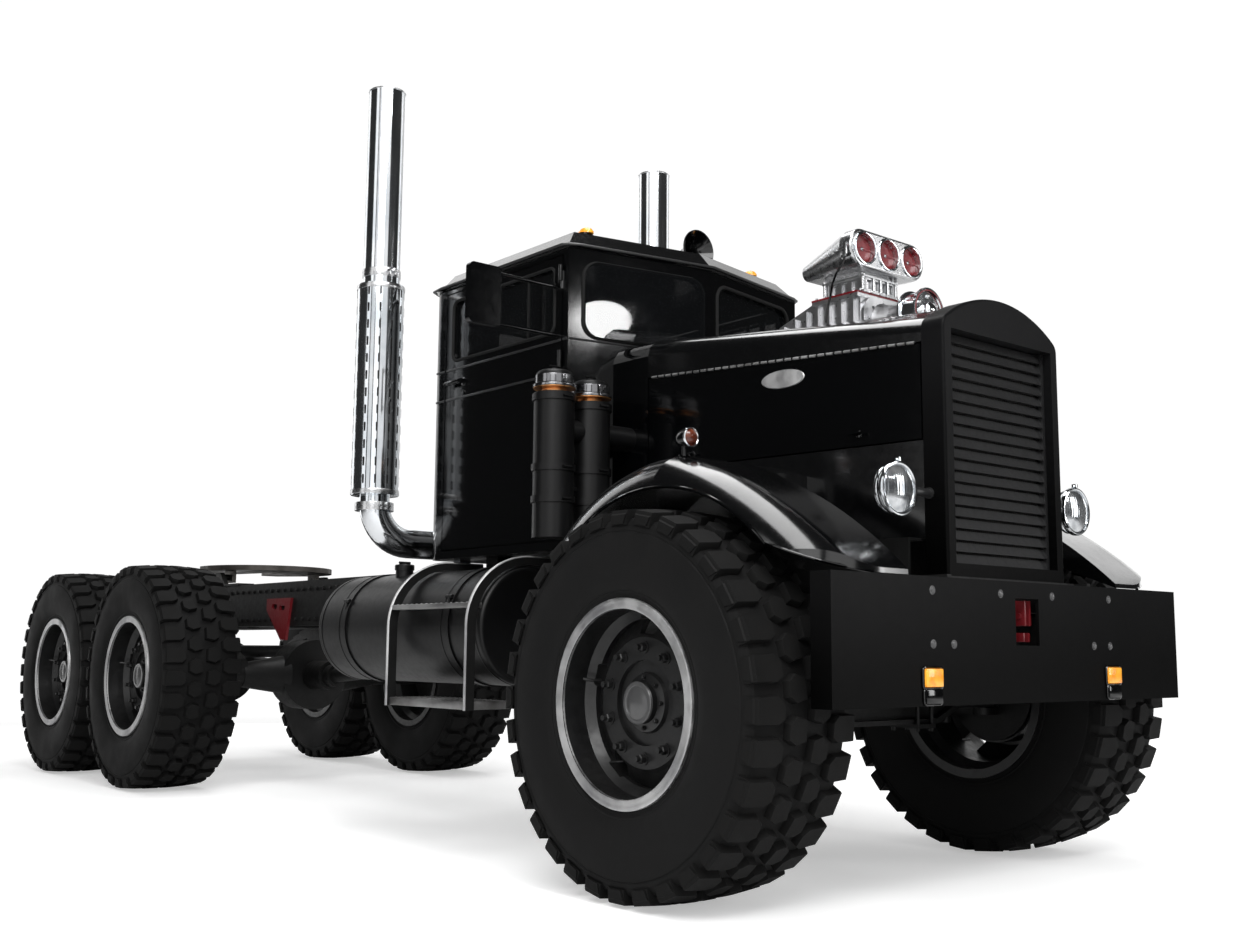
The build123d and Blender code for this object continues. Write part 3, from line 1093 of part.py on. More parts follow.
def case_side(x0, depth, margin):
    """The blower case's side outline, run outward from x0."""
    with BuildSketch(along(x0)) as outline:
        with BuildLine():
            Polyline((st(CASE_FRONT + margin), ENGINE_TOP), (st(CASE_FRONT + margin), CASE_TOP - margin),
                     (st(CASE_SLOPE_ST), CASE_TOP - margin), (st(CASE_BACK - margin), CASE_BACK_TOP - margin),
                     (st(CASE_BACK - margin), ENGINE_TOP), close=True)
        make_face()
    extrude(outline.sketch, amount=depth)


with BuildPart() as blower:
    case_side(RIB_DEPTH - CASE_HALF, 2 * (CASE_HALF - RIB_DEPTH), 0)
    fillet(blower.edges().filter_by(Axis.X).group_by(Axis.Z)[-1], 20)
    for station in RIBS:
        top = CASE_TOP - 14
        if station > CASE_SLOPE_ST:
            fall = (station + RIB_T / 2 - CASE_SLOPE_ST) / (CASE_BACK - CASE_SLOPE_ST)
            top = top - fall * (CASE_TOP - CASE_BACK_TOP)
        box(-CASE_HALF, CASE_HALF, station - RIB_T / 2, station + RIB_T / 2, ENGINE_TOP, top)
    box(-CASE_HALF - 4, CASE_HALF + 4, CASE_FRONT - 4, CASE_BACK + 4, ENGINE_TOP, ENGINE_TOP + 14)
    box(-CASE_HALF, CASE_HALF, CASE_FRONT, CASE_SLOPE_ST, CASE_TOP - 16, CASE_TOP + GASKET_T)
    with BuildSketch(across(CASE_FRONT)) as plate:
        with Locations((0, 2160)):
            RectangleRounded(244, 196, 70)
        for angle in range(0, 360, 45):
            with Locations((88 * math.cos(math.radians(angle)), 2160 + 76 * math.sin(math.radians(angle)))):
                Circle(7, mode=Mode.SUBTRACT)
    extrude(plate.sketch, amount=PLATE_DEPTH)
    with BuildSketch(across(CASE_FRONT - PLATE_DEPTH)) as root:
        with Locations((0, PULLEY_Z)):
            Circle(NOSE_R + 18)
    with BuildSketch(across(CASE_FRONT - PLATE_DEPTH - 60)) as neck:
        with Locations((0, PULLEY_Z)):
            Circle(NOSE_R)
    loft([root.sketch, neck.sketch])
    bar(0, PULLEY_FRONT + PULLEY_LENGTH, CASE_FRONT - PLATE_DEPTH - 60, PULLEY_Z, NOSE_R)
save(blower, "blower")

with BuildPart() as blower_pulley:
    with BuildSketch(Plane(origin=(0, 0, PULLEY_Z), x_dir=(0, 1, 0), z_dir=(1, 0, 0))):
        with BuildLine():
            back = PULLEY_FRONT + PULLEY_LENGTH
            Polyline((st(PULLEY_FRONT), 0), (st(PULLEY_FRONT), 30), (st(PULLEY_FRONT + 8), 40),
                     (st(PULLEY_FRONT + 8), PULLEY_R - 14), (st(PULLEY_FRONT), PULLEY_R - 8),
                     (st(PULLEY_FRONT), PULLEY_R), (st(PULLEY_FRONT + 8), PULLEY_R),
                     (st(PULLEY_FRONT + 10), PULLEY_R - 10), (st(back - 10), PULLEY_R - 10),
                     (st(back - 8), PULLEY_R), (st(back), PULLEY_R), (st(back), 0), close=True)
        make_face()
    revolve(axis=Axis((0, 0, PULLEY_Z), (0, 1, 0)))
save(blower_pulley, "blower_pulley")

with BuildPart() as scoop_adapter:
    adapter_low = CASE_TOP + GASKET_T
    with BuildSketch(Plane.XY.offset(adapter_low)):
        with Locations((0, st((CASE_FRONT + ADAPTER_BACK) / 2))):
            RectangleRounded(2 * ADAPTER_HALF, ADAPTER_BACK - CASE_FRONT, 16)
    extrude(amount=ADAPTER_TOP - adapter_low)
    for z in (adapter_low, ADAPTER_TOP - 8):
        box(-ADAPTER_HALF - 10, ADAPTER_HALF + 10, CASE_FRONT - 6, ADAPTER_BACK + 6, z, z + 8)
    for x in PORTS:
        box(x - 14, x + 14, CASE_FRONT - 10, CASE_FRONT + 12, adapter_low + 16, ADAPTER_TOP - 16,
            mode=Mode.SUBTRACT)
    for side in (-1, 1):
        for station in (-130, -78, -26):
            box(side * (ADAPTER_HALF - 10), side * (ADAPTER_HALF + 2), station - 14, station + 14,
                adapter_low + 16, ADAPTER_TOP - 16, mode=Mode.SUBTRACT)
save(scoop_adapter, "scoop_adapter")

with BuildPart() as air_scoop:
    with BuildSketch(across(SCOOP_FRONT + SCOOP_BARREL)) as mouth_end:
        with Locations((0, SCOOP_Z)):
            RectangleRounded(2 * SCOOP_HALF, SCOOP_H, SCOOP_H / 2 - 2)
    extrude(mouth_end.sketch, amount=SCOOP_BARREL)
    fillet(air_scoop.faces().sort_by(Axis.Y)[0].edges(), 12)
    with BuildSketch(across(SCOOP_REAR)) as tail:
        with Locations((0, TAIL_Z)):
            RectangleRounded(2 * TAIL_HALF, TAIL_H, TAIL_H / 2 - 2)
    loft([mouth_end.sketch, tail.sketch])
    box(-ADAPTER_HALF, ADAPTER_HALF, CASE_FRONT + 14, ADAPTER_BACK, ADAPTER_TOP, TAIL_Z)
    for x in MOUTHS:
        bar(x, SCOOP_FRONT - 3, SCOOP_FRONT + 20, SCOOP_Z, MOUTH_R + 8)
        bar(x, SCOOP_FRONT - 5, SCOOP_FRONT + MOUTH_DEPTH, SCOOP_Z, MOUTH_R, mode=Mode.SUBTRACT)
    rod(-SCOOP_HALF - 10, SCOOP_HALF + 10, FLAP_ST, SCOOP_Z, FLAP_SHAFT_R + 0.4, mode=Mode.SUBTRACT)
save(air_scoop, "air_scoop")

with BuildPart() as scoop_flaps:
    rod(-SCOOP_HALF - 14, SCOOP_HALF + 14, FLAP_ST, SCOOP_Z, FLAP_SHAFT_R)
    for x in MOUTHS:
        bar(x, FLAP_ST - 2, FLAP_ST + 2, SCOOP_Z, MOUTH_R - 1)
    box(-SCOOP_HALF - 14, -SCOOP_HALF - 8, FLAP_ST - 8, FLAP_ST + 8, SCOOP_Z - 48, SCOOP_Z + 8)
save(scoop_flaps, "scoop_flaps")

HORN_X = 215.0
HORN_Z = ROOF_TOP + 70
HORN_FRONT = 1100.0
with BuildPart() as roof_horn:
    post(HORN_X, 1330, ROOF_TOP, ROOF_TOP + 60, 16)
    post(HORN_X, 1330, ROOF_TOP, ROOF_TOP + 8, 34)
    with BuildSketch(Plane(origin=(HORN_X, 0, HORN_Z), x_dir=(0, 1, 0), z_dir=(1, 0, 0))):
        with BuildLine():
            Line((st(HORN_FRONT), 0), (st(HORN_FRONT + 60), 0))
            ThreePointArc((st(HORN_FRONT), 62), (st(HORN_FRONT + 60), 36), (st(HORN_FRONT + 200), 20))
            Polyline((st(HORN_FRONT + 200), 20), (st(HORN_FRONT + 205), 26), (st(HORN_FRONT + 300), 26),
                     (st(HORN_FRONT + 310), 16), (st(HORN_FRONT + 310), 0), (st(HORN_FRONT + 60), 0))
            Line((st(HORN_FRONT), 0), (st(HORN_FRONT), 62))
        make_face()
    revolve(axis=Axis((HORN_X, 0, HORN_Z), (0, 1, 0)))
    with Locations(Location((HORN_X, st(HORN_FRONT + 50), HORN_Z), (90, 0, 0))):
        Cone(14, 54, 104, mode=Mode.SUBTRACT)
save(roof_horn, "roof_horn")
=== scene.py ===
import bpy
import bmesh
import math
from mathutils.bvhtree import BVHTree
from mathutils import Matrix, Vector


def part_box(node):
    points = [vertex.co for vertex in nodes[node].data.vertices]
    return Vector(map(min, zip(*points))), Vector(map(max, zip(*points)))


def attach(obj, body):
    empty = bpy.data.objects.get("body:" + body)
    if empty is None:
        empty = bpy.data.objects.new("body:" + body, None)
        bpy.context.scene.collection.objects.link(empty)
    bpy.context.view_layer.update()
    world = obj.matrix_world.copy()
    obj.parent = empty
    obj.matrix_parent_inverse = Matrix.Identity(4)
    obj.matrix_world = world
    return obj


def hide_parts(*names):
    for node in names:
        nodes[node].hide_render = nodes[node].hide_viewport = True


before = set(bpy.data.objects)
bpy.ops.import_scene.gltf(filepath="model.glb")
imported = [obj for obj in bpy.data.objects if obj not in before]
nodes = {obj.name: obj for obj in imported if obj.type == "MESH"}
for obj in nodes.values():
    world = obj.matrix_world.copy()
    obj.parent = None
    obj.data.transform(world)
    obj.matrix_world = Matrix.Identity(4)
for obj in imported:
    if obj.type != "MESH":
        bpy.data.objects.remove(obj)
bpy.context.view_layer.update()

# Everything is in metres in the truck's own frame: front towards -Y, left side +X, ground at Z = 0.
# Stations are measured rearward from the front axle, as the truck's drawings do.
FRONT_AXLE_Y = sum(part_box("wheel_front_left")[i][1] for i in (0, 1)) / 2
AXLE_Z = sum(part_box("wheel_front_left")[i][2] for i in (0, 1)) / 2
TYRE_R = 0.674
TYRE_OUT = 1.22
TYRE_IN = 0.75
LEFT_RIGHT = (1, -1)


def st(station):
    """Y of a station."""
    return FRONT_AXLE_Y + station


def spot(side, place):
    """A point on one side of the truck, from its (x, station, z)."""
    return Vector((side * place[0], st(place[1]), place[2]))


# ---- nodes and shaders ----

class Value:
    """A node's socket that can be used in a Python expression: each operator adds a Math node."""

    def __init__(self, graph, socket):
        self.graph = graph
        self.socket = socket

    def maths(self, operation, first, second):
        return self.graph.node("ShaderNodeMath", {"operation": operation}, {0: first, 1: second})


for word, operation in (("add", "ADD"), ("sub", "SUBTRACT"), ("mul", "MULTIPLY"), ("truediv", "DIVIDE")):
    setattr(Value, "__%s__" % word, lambda self, other, named=operation: self.maths(named, self, other))
    setattr(Value, "__r%s__" % word, lambda self, other, named=operation: self.maths(named, other, self))


class Graph:
    """A node tree, to which node() adds one node at a time."""

    def __init__(self, tree):
        self.tree = tree

    def node(self, kind, settings, inputs, output=0):
        """Adds a node of a type, applies its settings, then fills its sockets with values or links."""
        made = self.tree.nodes.new(kind)
        for key, value in settings.items():
            setattr(made, key, value)
        for key, value in inputs.items():
            if isinstance(value, Value):
                self.tree.links.new(value.socket, made.inputs[key])
            else:
                made.inputs[key].default_value = value
        return Value(self, made.outputs[output]) if len(made.outputs) else None


def cleared(owner):
    """The emptied graph of a material or world."""
    owner.use_nodes = True
    owner.node_tree.nodes.clear()
    return Graph(owner.node_tree)


class Finish(Graph):
    """One material: a Principled shader, with what varies over the surface fed into it."""

    def __init__(self, name, **constants):
        self.material = bpy.data.materials.new(name)
        super().__init__(cleared(self.material).tree)
        shaded = self.node("ShaderNodeBsdfPrincipled", {}, {})
        self.shader = shaded.socket.node
        self.node("ShaderNodeOutputMaterial", {}, {"Surface": shaded})
        for key, value in constants.items():
            self.shader.inputs[key.replace("_", " ")].default_value = value
        self.place = self.node("ShaderNodeTexCoord", {}, {}, "Object")

    def noise(self, scale, detail=3.0, rough=0.55, stretch=None):
        place = self.place
        if stretch:
            place = self.node("ShaderNodeMapping", {}, {"Vector": self.place, "Scale": stretch})
        return self.node("ShaderNodeTexNoise", {}, {"Vector": place, "Scale": scale, "Detail": detail,
                                                    "Roughness": rough})

    def wave(self, direction, scale, distortion=0.0, detail=2.0):
        sizes = {"Vector": self.place, "Scale": scale, "Distortion": distortion, "Detail": detail}
        return self.node("ShaderNodeTexWave", {"bands_direction": direction}, sizes, "Fac")

    def ramp(self, value, low, high):
        """0 below low, 1 above high, smooth between."""
        return self.node("ShaderNodeMapRange", {"interpolation_type": "SMOOTHSTEP"},
                         {"Value": value, "From Min": low, "From Max": high})

    def mix(self, factor, first, second):
        """A colour between two: the Mix node keeps its colour sockets at these places."""
        return self.node("ShaderNodeMix", {"data_type": "RGBA"}, {0: factor, 6: first, 7: second}, 2)

    def feed(self, **links):
        for key, value in links.items():
            self.tree.links.new(value.socket, self.shader.inputs[key.replace("_", " ")])

    def bump(self, height, strength, distance):
        self.feed(Normal=self.node("ShaderNodeBump", {}, {"Height": height, "Strength": strength,
                                                          "Distance": distance}, "Normal"))

    def height(self):
        """Metres above the ground."""
        return self.node("ShaderNodeSeparateXYZ", {}, {0: self.place}, "Z")

    def upward(self):
        """1 where the surface faces up, 0 on upright faces."""
        normal = self.node("ShaderNodeNewGeometry", {}, {}, "Normal")
        return self.node("ShaderNodeSeparateXYZ", {}, {0: normal}, "Z")


def rgb(r, g, b):
    return (r, g, b, 1.0)


def enamel(name, colour, dust_colour, rough, dust, grain, coat=0.7, coat_rough=0.13, shine=0.5):
    """Sprayed enamel: a clear top coat, fine orange peel, dust that settles on upward faces."""
    f = Finish(name, Coat_Roughness=coat_rough, IOR=1.5, Specular_IOR_Level=shine)
    film = f.noise(2.3, 5.0, 0.6)
    fine = f.noise(38.0, 3.0, 0.6)
    settled = f.ramp(f.upward(), 0.25, 1.0) * f.ramp(film, 0.35, 0.75) * dust
    f.feed(Base_Color=f.mix(settled, colour, dust_colour),
           Roughness=f.ramp(fine, 0.2, 0.9) * grain + rough + settled * 0.35,
           Coat_Weight=(1.0 - f.ramp(film, 0.4, 0.8) * 0.35 - settled) * coat)
    f.bump(f.noise(420.0, 2.0, 0.5), 0.05, 0.0006)
    return f.material


def satin(name, low, high, pale):
    """Satin black plate, painted paler towards its top as painted light falling from above."""
    f = Finish(name, Specular_IOR_Level=0.045, Coat_Weight=0.02, Coat_Roughness=0.3)
    film = f.noise(2.6, 5.0, 0.6)
    fine = f.noise(45.0, 3.0, 0.6)
    # painted light: paler with height, in patches from the film noise
    rise = f.ramp(f.height(), low, high) * (f.ramp(film, 0.2, 0.9) * 0.3 + 0.7)
    f.feed(Base_Color=f.mix(rise, rgb(0.0003, 0.0003, 0.0003), pale),
           Roughness=f.ramp(fine, 0.2, 0.9) * 0.12 + 0.36)
    f.bump(f.noise(380.0, 2.0, 0.5), 0.05, 0.0006)
    return f.material


def metal(name, colour, shade, rough, streak, stretch, scale=6.0):
    """Bare or polished metal with streaks along its working direction."""
    f = Finish(name, Metallic=1.0)
    streaks = f.noise(scale, 6.0, 0.65, stretch)
    cloud = f.noise(3.1, 4.0, 0.6)
    f.feed(Base_Color=f.mix(f.ramp(cloud, 0.35, 0.75), colour, shade),
           Roughness=f.ramp(streaks, 0.3, 0.7) * streak + rough)
    f.bump(streaks, 0.05, 0.0003)
    return f.material


def radiator_fins():
    """Fine upright tubes with level fins between them, dusty between the rows."""
    f = Finish("radiator_fins", Metallic=0.4)
    tubes = f.wave("X", 26.0)
    fins = f.wave("Z", 90.0)
    dust = f.noise(9.0, 4.0, 0.6)
    f.feed(Base_Color=f.mix(f.ramp(dust, 0.3, 0.8), rgb(0.006, 0.006, 0.006), rgb(0.03, 0.028, 0.025)),
           Roughness=f.ramp(fins, 0.0, 1.0) * 0.2 + 0.5)
    f.bump(tubes * 0.6 + fins * 0.4, 0.6, 0.004)
    return f.material


def rubber(name, colour, dusty, grain):
    """Moulded rubber or trim, patchy with road dust."""
    f = Finish(name, Specular_IOR_Level=0.18)
    patches = f.noise(5.0, 5.0, 0.62)
    fine = f.noise(150.0, 3.0, 0.6)
    f.feed(Base_Color=f.mix(f.ramp(patches, 0.3, 0.8), colour, dusty),
           Roughness=f.ramp(patches, 0.2, 0.8) * 0.2 + 0.62)
    f.bump(fine, grain, 0.0012)
    return f.material


def seat_hide():
    """Grained hide, a little shinier where it is worn."""
    f = Finish("seat_hide", Specular_IOR_Level=0.4)
    cells = {"Vector": f.place, "Scale": 330.0}
    grain = f.node("ShaderNodeTexVoronoi", {"feature": "DISTANCE_TO_EDGE"}, cells)
    worn = f.noise(7.0, 4.0, 0.6)
    f.feed(Base_Color=f.mix(f.ramp(worn, 0.4, 0.75), rgb(0.018, 0.017, 0.018), rgb(0.034, 0.031, 0.03)),
           Roughness=f.ramp(worn, 0.3, 0.8) * 0.18 + 0.38)
    f.bump(f.ramp(grain, 0.0, 0.12), 0.35, 0.0006)
    return f.material


def tinted_glass():
    """Dark see-through glass with a faint haze."""
    f = Finish("tinted_glass", IOR=1.5, Specular_IOR_Level=0.7, Base_Color=rgb(0.004, 0.0045, 0.005))
    haze = f.noise(4.0, 5.0, 0.6)
    f.feed(Roughness=f.ramp(haze, 0.45, 0.8) * 0.06 + 0.015, Alpha=f.ramp(haze, 0.3, 0.9) * 0.06 + 0.62)
    return f.material


def lens(name, colour, deep, glow):
    """Moulded lamp lens with fine flutes."""
    f = Finish(name, Coat_Weight=0.6, Coat_Roughness=0.04, Emission_Strength=glow, IOR=1.45)
    flutes = f.wave("X", 60.0, 0.4)
    cloud = f.noise(30.0, 3.0, 0.5)
    tone = f.mix(f.ramp(cloud, 0.3, 0.7), colour, deep)
    f.feed(Base_Color=tone, Emission_Color=tone, Roughness=f.ramp(flutes, 0.0, 1.0) * 0.12 + 0.1)
    f.bump(flutes, 0.25, 0.001)
    return f.material


def lamp_glass():
    """Clear headlamp glass over a bright reflector, as one mirrored skin with soft flutes."""
    f = Finish("lamp_glass", Metallic=0.85, Coat_Weight=1.0, Coat_Roughness=0.02)
    flutes = f.wave("X", 28.0, 1.5, 1.0)
    cloud = f.noise(16.0, 3.0, 0.5)
    f.feed(Base_Color=f.mix(f.ramp(cloud, 0.35, 0.7), rgb(0.78, 0.8, 0.82), rgb(0.25, 0.27, 0.29)),
           Roughness=f.ramp(flutes, 0.2, 0.9) * 0.12 + 0.05)
    f.bump(flutes, 0.15, 0.002)
    return f.material


# enamels: colour, colour of the dust, roughness, dust, grain, then coat, its roughness and the paint's shine
CLEAN_DUST = rgb(0.01, 0.0095, 0.009)
ROAD_DUST = rgb(0.022, 0.02, 0.018)
body_black = enamel("body_black", rgb(0.001, 0.0011, 0.0013), rgb(0.007, 0.0066, 0.0063),
                    0.07, 0.05, 0.05, 0.45, 0.07, 0.3)
fender_black = enamel("fender_black", rgb(0.0009, 0.001, 0.0012), rgb(0.008, 0.0076, 0.0072),
                      0.13, 0.08, 0.1, 0.95, 0.13)
tank_black = enamel("tank_black", rgb(0.0018, 0.0018, 0.002), CLEAN_DUST, 0.36, 0.12, 0.12, 0.1, 0.3, 0.22)
chassis_black = enamel("chassis_black", rgb(0.003, 0.003, 0.003), ROAD_DUST, 0.48, 0.3, 0.2, 0.1, 0.3, 0.3)
wheel_black = enamel("wheel_black", rgb(0.004, 0.004, 0.0042), ROAD_DUST, 0.36, 0.25, 0.3, 0.3, 0.2, 0.4)
hub_grey = enamel("hub_grey", rgb(0.05, 0.05, 0.051), rgb(0.09, 0.085, 0.08), 0.4, 0.3, 0.25)
grille_grey = enamel("grille_grey", rgb(0.011, 0.011, 0.0115), rgb(0.04, 0.038, 0.036),
                     0.34, 0.35, 0.25, 0.3, 0.25, 0.4)
lamp_grey = enamel("lamp_grey", rgb(0.016, 0.016, 0.0165), rgb(0.03, 0.029, 0.028),
                   0.32, 0.2, 0.2, 0.3, 0.2, 0.4)
red_enamel = enamel("red_enamel", rgb(0.12, 0.004, 0.007), rgb(0.07, 0.02, 0.018),
                    0.36, 0.3, 0.2, 0.2, 0.2, 0.4)
scoop_red = enamel("scoop_red", rgb(0.17, 0.004, 0.009), rgb(0.1, 0.01, 0.01),
                   0.26, 0.1, 0.15, 0.3, 0.15, 0.4)
# satin plates: the heights between which the painted light turns them paler, and the pale colour of that
# painted light
shell_black = satin("shell_black", 1.1, 2.2, rgb(0.008, 0.008, 0.0085))
bumper_black = satin("bumper_black", 0.7, 1.2, rgb(0.006, 0.006, 0.0062))
# metals: colour, shade, roughness, what the streaks add to it, their stretch along x, y and z, their scale
UPRIGHT = (1.0, 1.0, 0.05)
EVEN = (1.0, 1.0, 1.0)
smoked_chrome = metal("smoked_chrome", rgb(0.3, 0.3, 0.31), rgb(0.12, 0.12, 0.125), 0.1, 0.1, UPRIGHT, 11.0)
chrome = metal("chrome", rgb(0.86, 0.88, 0.9), rgb(0.62, 0.66, 0.7), 0.05, 0.14, UPRIGHT, 11.0)
polished = metal("polished_alloy", rgb(0.72, 0.72, 0.73), rgb(0.5, 0.51, 0.52),
                 0.2, 0.1, (0.06, 1.0, 1.0), 30.0)
copper = metal("copper", rgb(0.75, 0.36, 0.14), rgb(0.35, 0.15, 0.05), 0.28, 0.2, EVEN, 18.0)
cast_alloy = metal("cast_alloy", rgb(0.56, 0.56, 0.57), rgb(0.34, 0.35, 0.36), 0.26, 0.14, EVEN, 60.0)
rim_metal = metal("rim_metal", rgb(0.62, 0.62, 0.62), rgb(0.26, 0.26, 0.27), 0.36, 0.3, EVEN, 14.0)
worn_steel = metal("worn_steel", rgb(0.4, 0.4, 0.4), rgb(0.14, 0.135, 0.13), 0.34, 0.3, (1.0, 0.2, 1.0), 20.0)
greased_steel = metal("greased_steel", rgb(0.16, 0.15, 0.14), rgb(0.05, 0.045, 0.04), 0.36, 0.35, EVEN, 7.0)
# rubbers and trim: colour, dusty colour, depth of the grain
sidewall_rubber = rubber("sidewall_rubber", rgb(0.0026, 0.0026, 0.0027), rgb(0.0052, 0.005, 0.0049), 0.22)
tread_rubber = rubber("tread_rubber", rgb(0.002, 0.002, 0.002), rgb(0.0048, 0.0046, 0.0044), 0.35)
seal_rubber = rubber("seal_rubber", rgb(0.006, 0.006, 0.006), rgb(0.012, 0.012, 0.012), 0.1)
cab_trim = rubber("cab_trim", rgb(0.014, 0.014, 0.0145), rgb(0.022, 0.022, 0.023), 0.25)
# lenses: colour, deep colour, glow
lamp_red = lens("lamp_red", rgb(0.16, 0.035, 0.012), rgb(0.05, 0.01, 0.006), 0.0)
amber = lens("amber_lens", rgb(0.95, 0.42, 0.04), rgb(0.8, 0.26, 0.02), 0.25)
headlamp_glass = lamp_glass()
window_glass = tinted_glass()
radiator_black = radiator_fins()
hide = seat_hide()

PAINTED = {
    shell_black: ("radiator_shell",),
    fender_black: ("front_fenders", "hood_top", "cab_roof"),
    body_black: ("hood_panel_left", "hood_panel_right", "cab_body", "door_left", "door_right"),
    tank_black: ("fuel_tanks", "air_cleaners"),
    wheel_black: tuple(name for name in nodes if name.startswith("wheel_")),
    lamp_grey: ("headlamps",),
    grille_grey: ("grille",),
    radiator_black: ("radiator_core",),
    bumper_black: ("bumper",),
    chassis_black: ("frame", "front_axle", "knuckle_left", "knuckle_right", "tie_rod", "front_springs",
                    "rear_axles", "rear_suspension", "gearbox", "driveshafts", "engine", "fifth_wheel_base"),
    greased_steel: ("fifth_wheel_plate",),
    red_enamel: ("torque_brackets",),
    scoop_red: ("scoop_flaps",),
    chrome: ("exhaust_stacks", "blower_pulley"),
    cast_alloy: ("blower", "scoop_adapter"),
    polished: ("air_scoop",),
    window_glass: ("cab_glass", "door_glass_left", "door_glass_right"),
    cab_trim: ("dashboard", "steering_wheel", "seat_frames"),
}
for finish, names in PAINTED.items():
    for name in names:
        node = nodes[name]
        if not node.material_slots:
            node.data.materials.append(finish)
        for socket in node.material_slots:
            socket.material = finish


# ---- mesh building ----

def settle(name, mesh, finish, body, smooth_angle=35.0, stands_for=None):
    """Finishes a mesh as a piece that rides on a body, in place of a CAD node where one is named."""
    mesh.materials.clear()
    mesh.materials.append(finish)
    for polygon in mesh.polygons:
        polygon.use_smooth = True
        polygon.material_index = 0
    mesh.set_sharp_from_angle(angle=math.radians(smooth_angle))
    obj = bpy.data.objects.new(name, mesh)
    bpy.context.scene.collection.objects.link(obj)
    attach(obj, body)
    if stands_for:
        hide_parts(stands_for)
    return obj


def mesh_of(name, bm):
    """Turns a bmesh into a plain mesh, and frees it."""
    mesh = bpy.data.meshes.new(name)
    bmesh.ops.recalc_face_normals(bm, faces=bm.faces)
    bm.to_mesh(mesh)
    bm.free()
    return mesh


def piece(name, bm, finish, body, smooth_angle=35.0, stands_for=None):
    """Turns a bmesh into a finished piece."""
    bmesh.ops.remove_doubles(bm, verts=bm.verts, dist=1e-5)
    return settle(name, mesh_of(name, bm), finish, body, smooth_angle, stands_for)


def fixed(name, bm, finish, smooth_angle=35.0, stands_for=None):
    """A finished piece on the chassis."""
    piece(name, bm, finish, "chassis", smooth_angle, stands_for)


def bridge(bm, rings, closed=False):
    """Faces between neighbouring rings of vertices; a ring of one vertex is a point."""
    pairs = list(zip(rings, rings[1:]))
    if closed:
        pairs.append((rings[-1], rings[0]))
    for low, high in pairs:
        count = max(len(low), len(high))
        for i in range(count):
            j = (i + 1) % count
            ring = [low[0]] if len(low) == 1 else [low[i], low[j]]
            ring += [high[0]] if len(high) == 1 else [high[j], high[i]]
            if len(ring) > 2:
                bm.faces.new(ring)


def lathe(bm, profile, centre, axis, segments=64, closed=False):
    """Spins a profile of (along, radius) pairs about an axis through a centre."""
    axis = Vector(axis).normalized()
    side = axis.orthogonal().normalized()
    up = axis.cross(side)
    rings = []
    for along, radius in profile:
        if radius < 1e-6:
            rings.append([bm.verts.new(Vector(centre) + axis * along)])
            continue
        rings.append([bm.verts.new(Vector(centre) + axis * along + radius *
                                   (side * math.cos(2 * math.pi * i / segments) +
                                    up * math.sin(2 * math.pi * i / segments))) for i in range(segments)])
    bridge(bm, rings, closed)


def block(bm, low, high, chamfer=0.0):
    """A rectangular block, with its edges chamfered."""
    verts = bmesh.ops.create_cube(bm, size=1.0)["verts"]
    size = Vector(high) - Vector(low)
    centre = (Vector(high) + Vector(low)) / 2
    for v in verts:
        v.co = Vector((v.co.x * size.x, v.co.y * size.y, v.co.z * size.z)) + centre
    if chamfer:
        edges = list({e for v in verts for e in v.link_edges})
        bmesh.ops.bevel(bm, geom=edges, offset=chamfer, segments=2, profile=0.6, affect="EDGES")


def block_at(bm, middle, half, chamfer=0.0):
    """A block about its middle, from its half sizes."""
    block(bm, Vector(middle) - Vector(half), Vector(middle) + Vector(half), chamfer)


def tube(bm, points, radius, segments=12, cap=True):
    """A round bar through a list of points, mitred at its bends."""
    points = [Vector(p) for p in points]
    rings = []
    reference = None
    for i, p in enumerate(points):
        ahead = (points[i + 1] - p).normalized() if i < len(points) - 1 else None
        behind = (p - points[i - 1]).normalized() if i else None
        way = (ahead + behind).normalized() if ahead and behind else (ahead or behind)
        if reference is None:
            reference = way.orthogonal().normalized()
        reference = (reference - way * reference.dot(way)).normalized()
        up = way.cross(reference)
        rings.append([bm.verts.new(p + radius * (reference * math.cos(2 * math.pi * k / segments) +
                                                 up * math.sin(2 * math.pi * k / segments)))
                      for k in range(segments)])
    bridge(bm, rings)
    if cap:
        bm.faces.new(rings[0])
        bm.faces.new(rings[-1])


# ---- repeats by Geometry Nodes ----

def repeat_tree(name, sizes, build, finish):
    """A Geometry Nodes tree with named sizes; build(graph, size) returns the copies."""
    tree = bpy.data.node_groups.new(name, "GeometryNodeTree")
    tree.interface.new_socket("Geometry", in_out="INPUT", socket_type="NodeSocketGeometry")
    for label, kind, value in sizes:
        tree.interface.new_socket(label, in_out="INPUT", socket_type=kind).default_value = value
    tree.interface.new_socket("Geometry", in_out="OUTPUT", socket_type="NodeSocketGeometry")
    graph = Graph(tree)
    entry = tree.nodes.new("NodeGroupInput")
    copies = build(graph, lambda label: Value(graph, entry.outputs[label]))
    real = graph.node("GeometryNodeRealizeInstances", {}, {0: copies})
    painted = graph.node("GeometryNodeSetMaterial", {}, {"Geometry": real, "Material": finish})
    graph.node("NodeGroupOutput", {}, {0: painted})
    return tree


def offset_line(graph, size, step):
    return graph.node("GeometryNodeMeshLine", {"mode": "OFFSET"}, {"Count": size("Count"), "Offset": step})


def ring_build(graph, size):
    """Copies of the incoming mesh turned about the X axis through the origin."""
    line = offset_line(graph, size, (0.0, 0.0, 0.0))
    index = graph.node("GeometryNodeInputIndex", {}, {})
    angle = (index + size("Phase")) / size("Count") * (2 * math.pi)
    turn = graph.node("ShaderNodeCombineXYZ", {}, {"X": angle})
    return graph.node("GeometryNodeInstanceOnPoints", {},
                      {"Points": line, "Instance": size("Geometry"), "Rotation": turn})


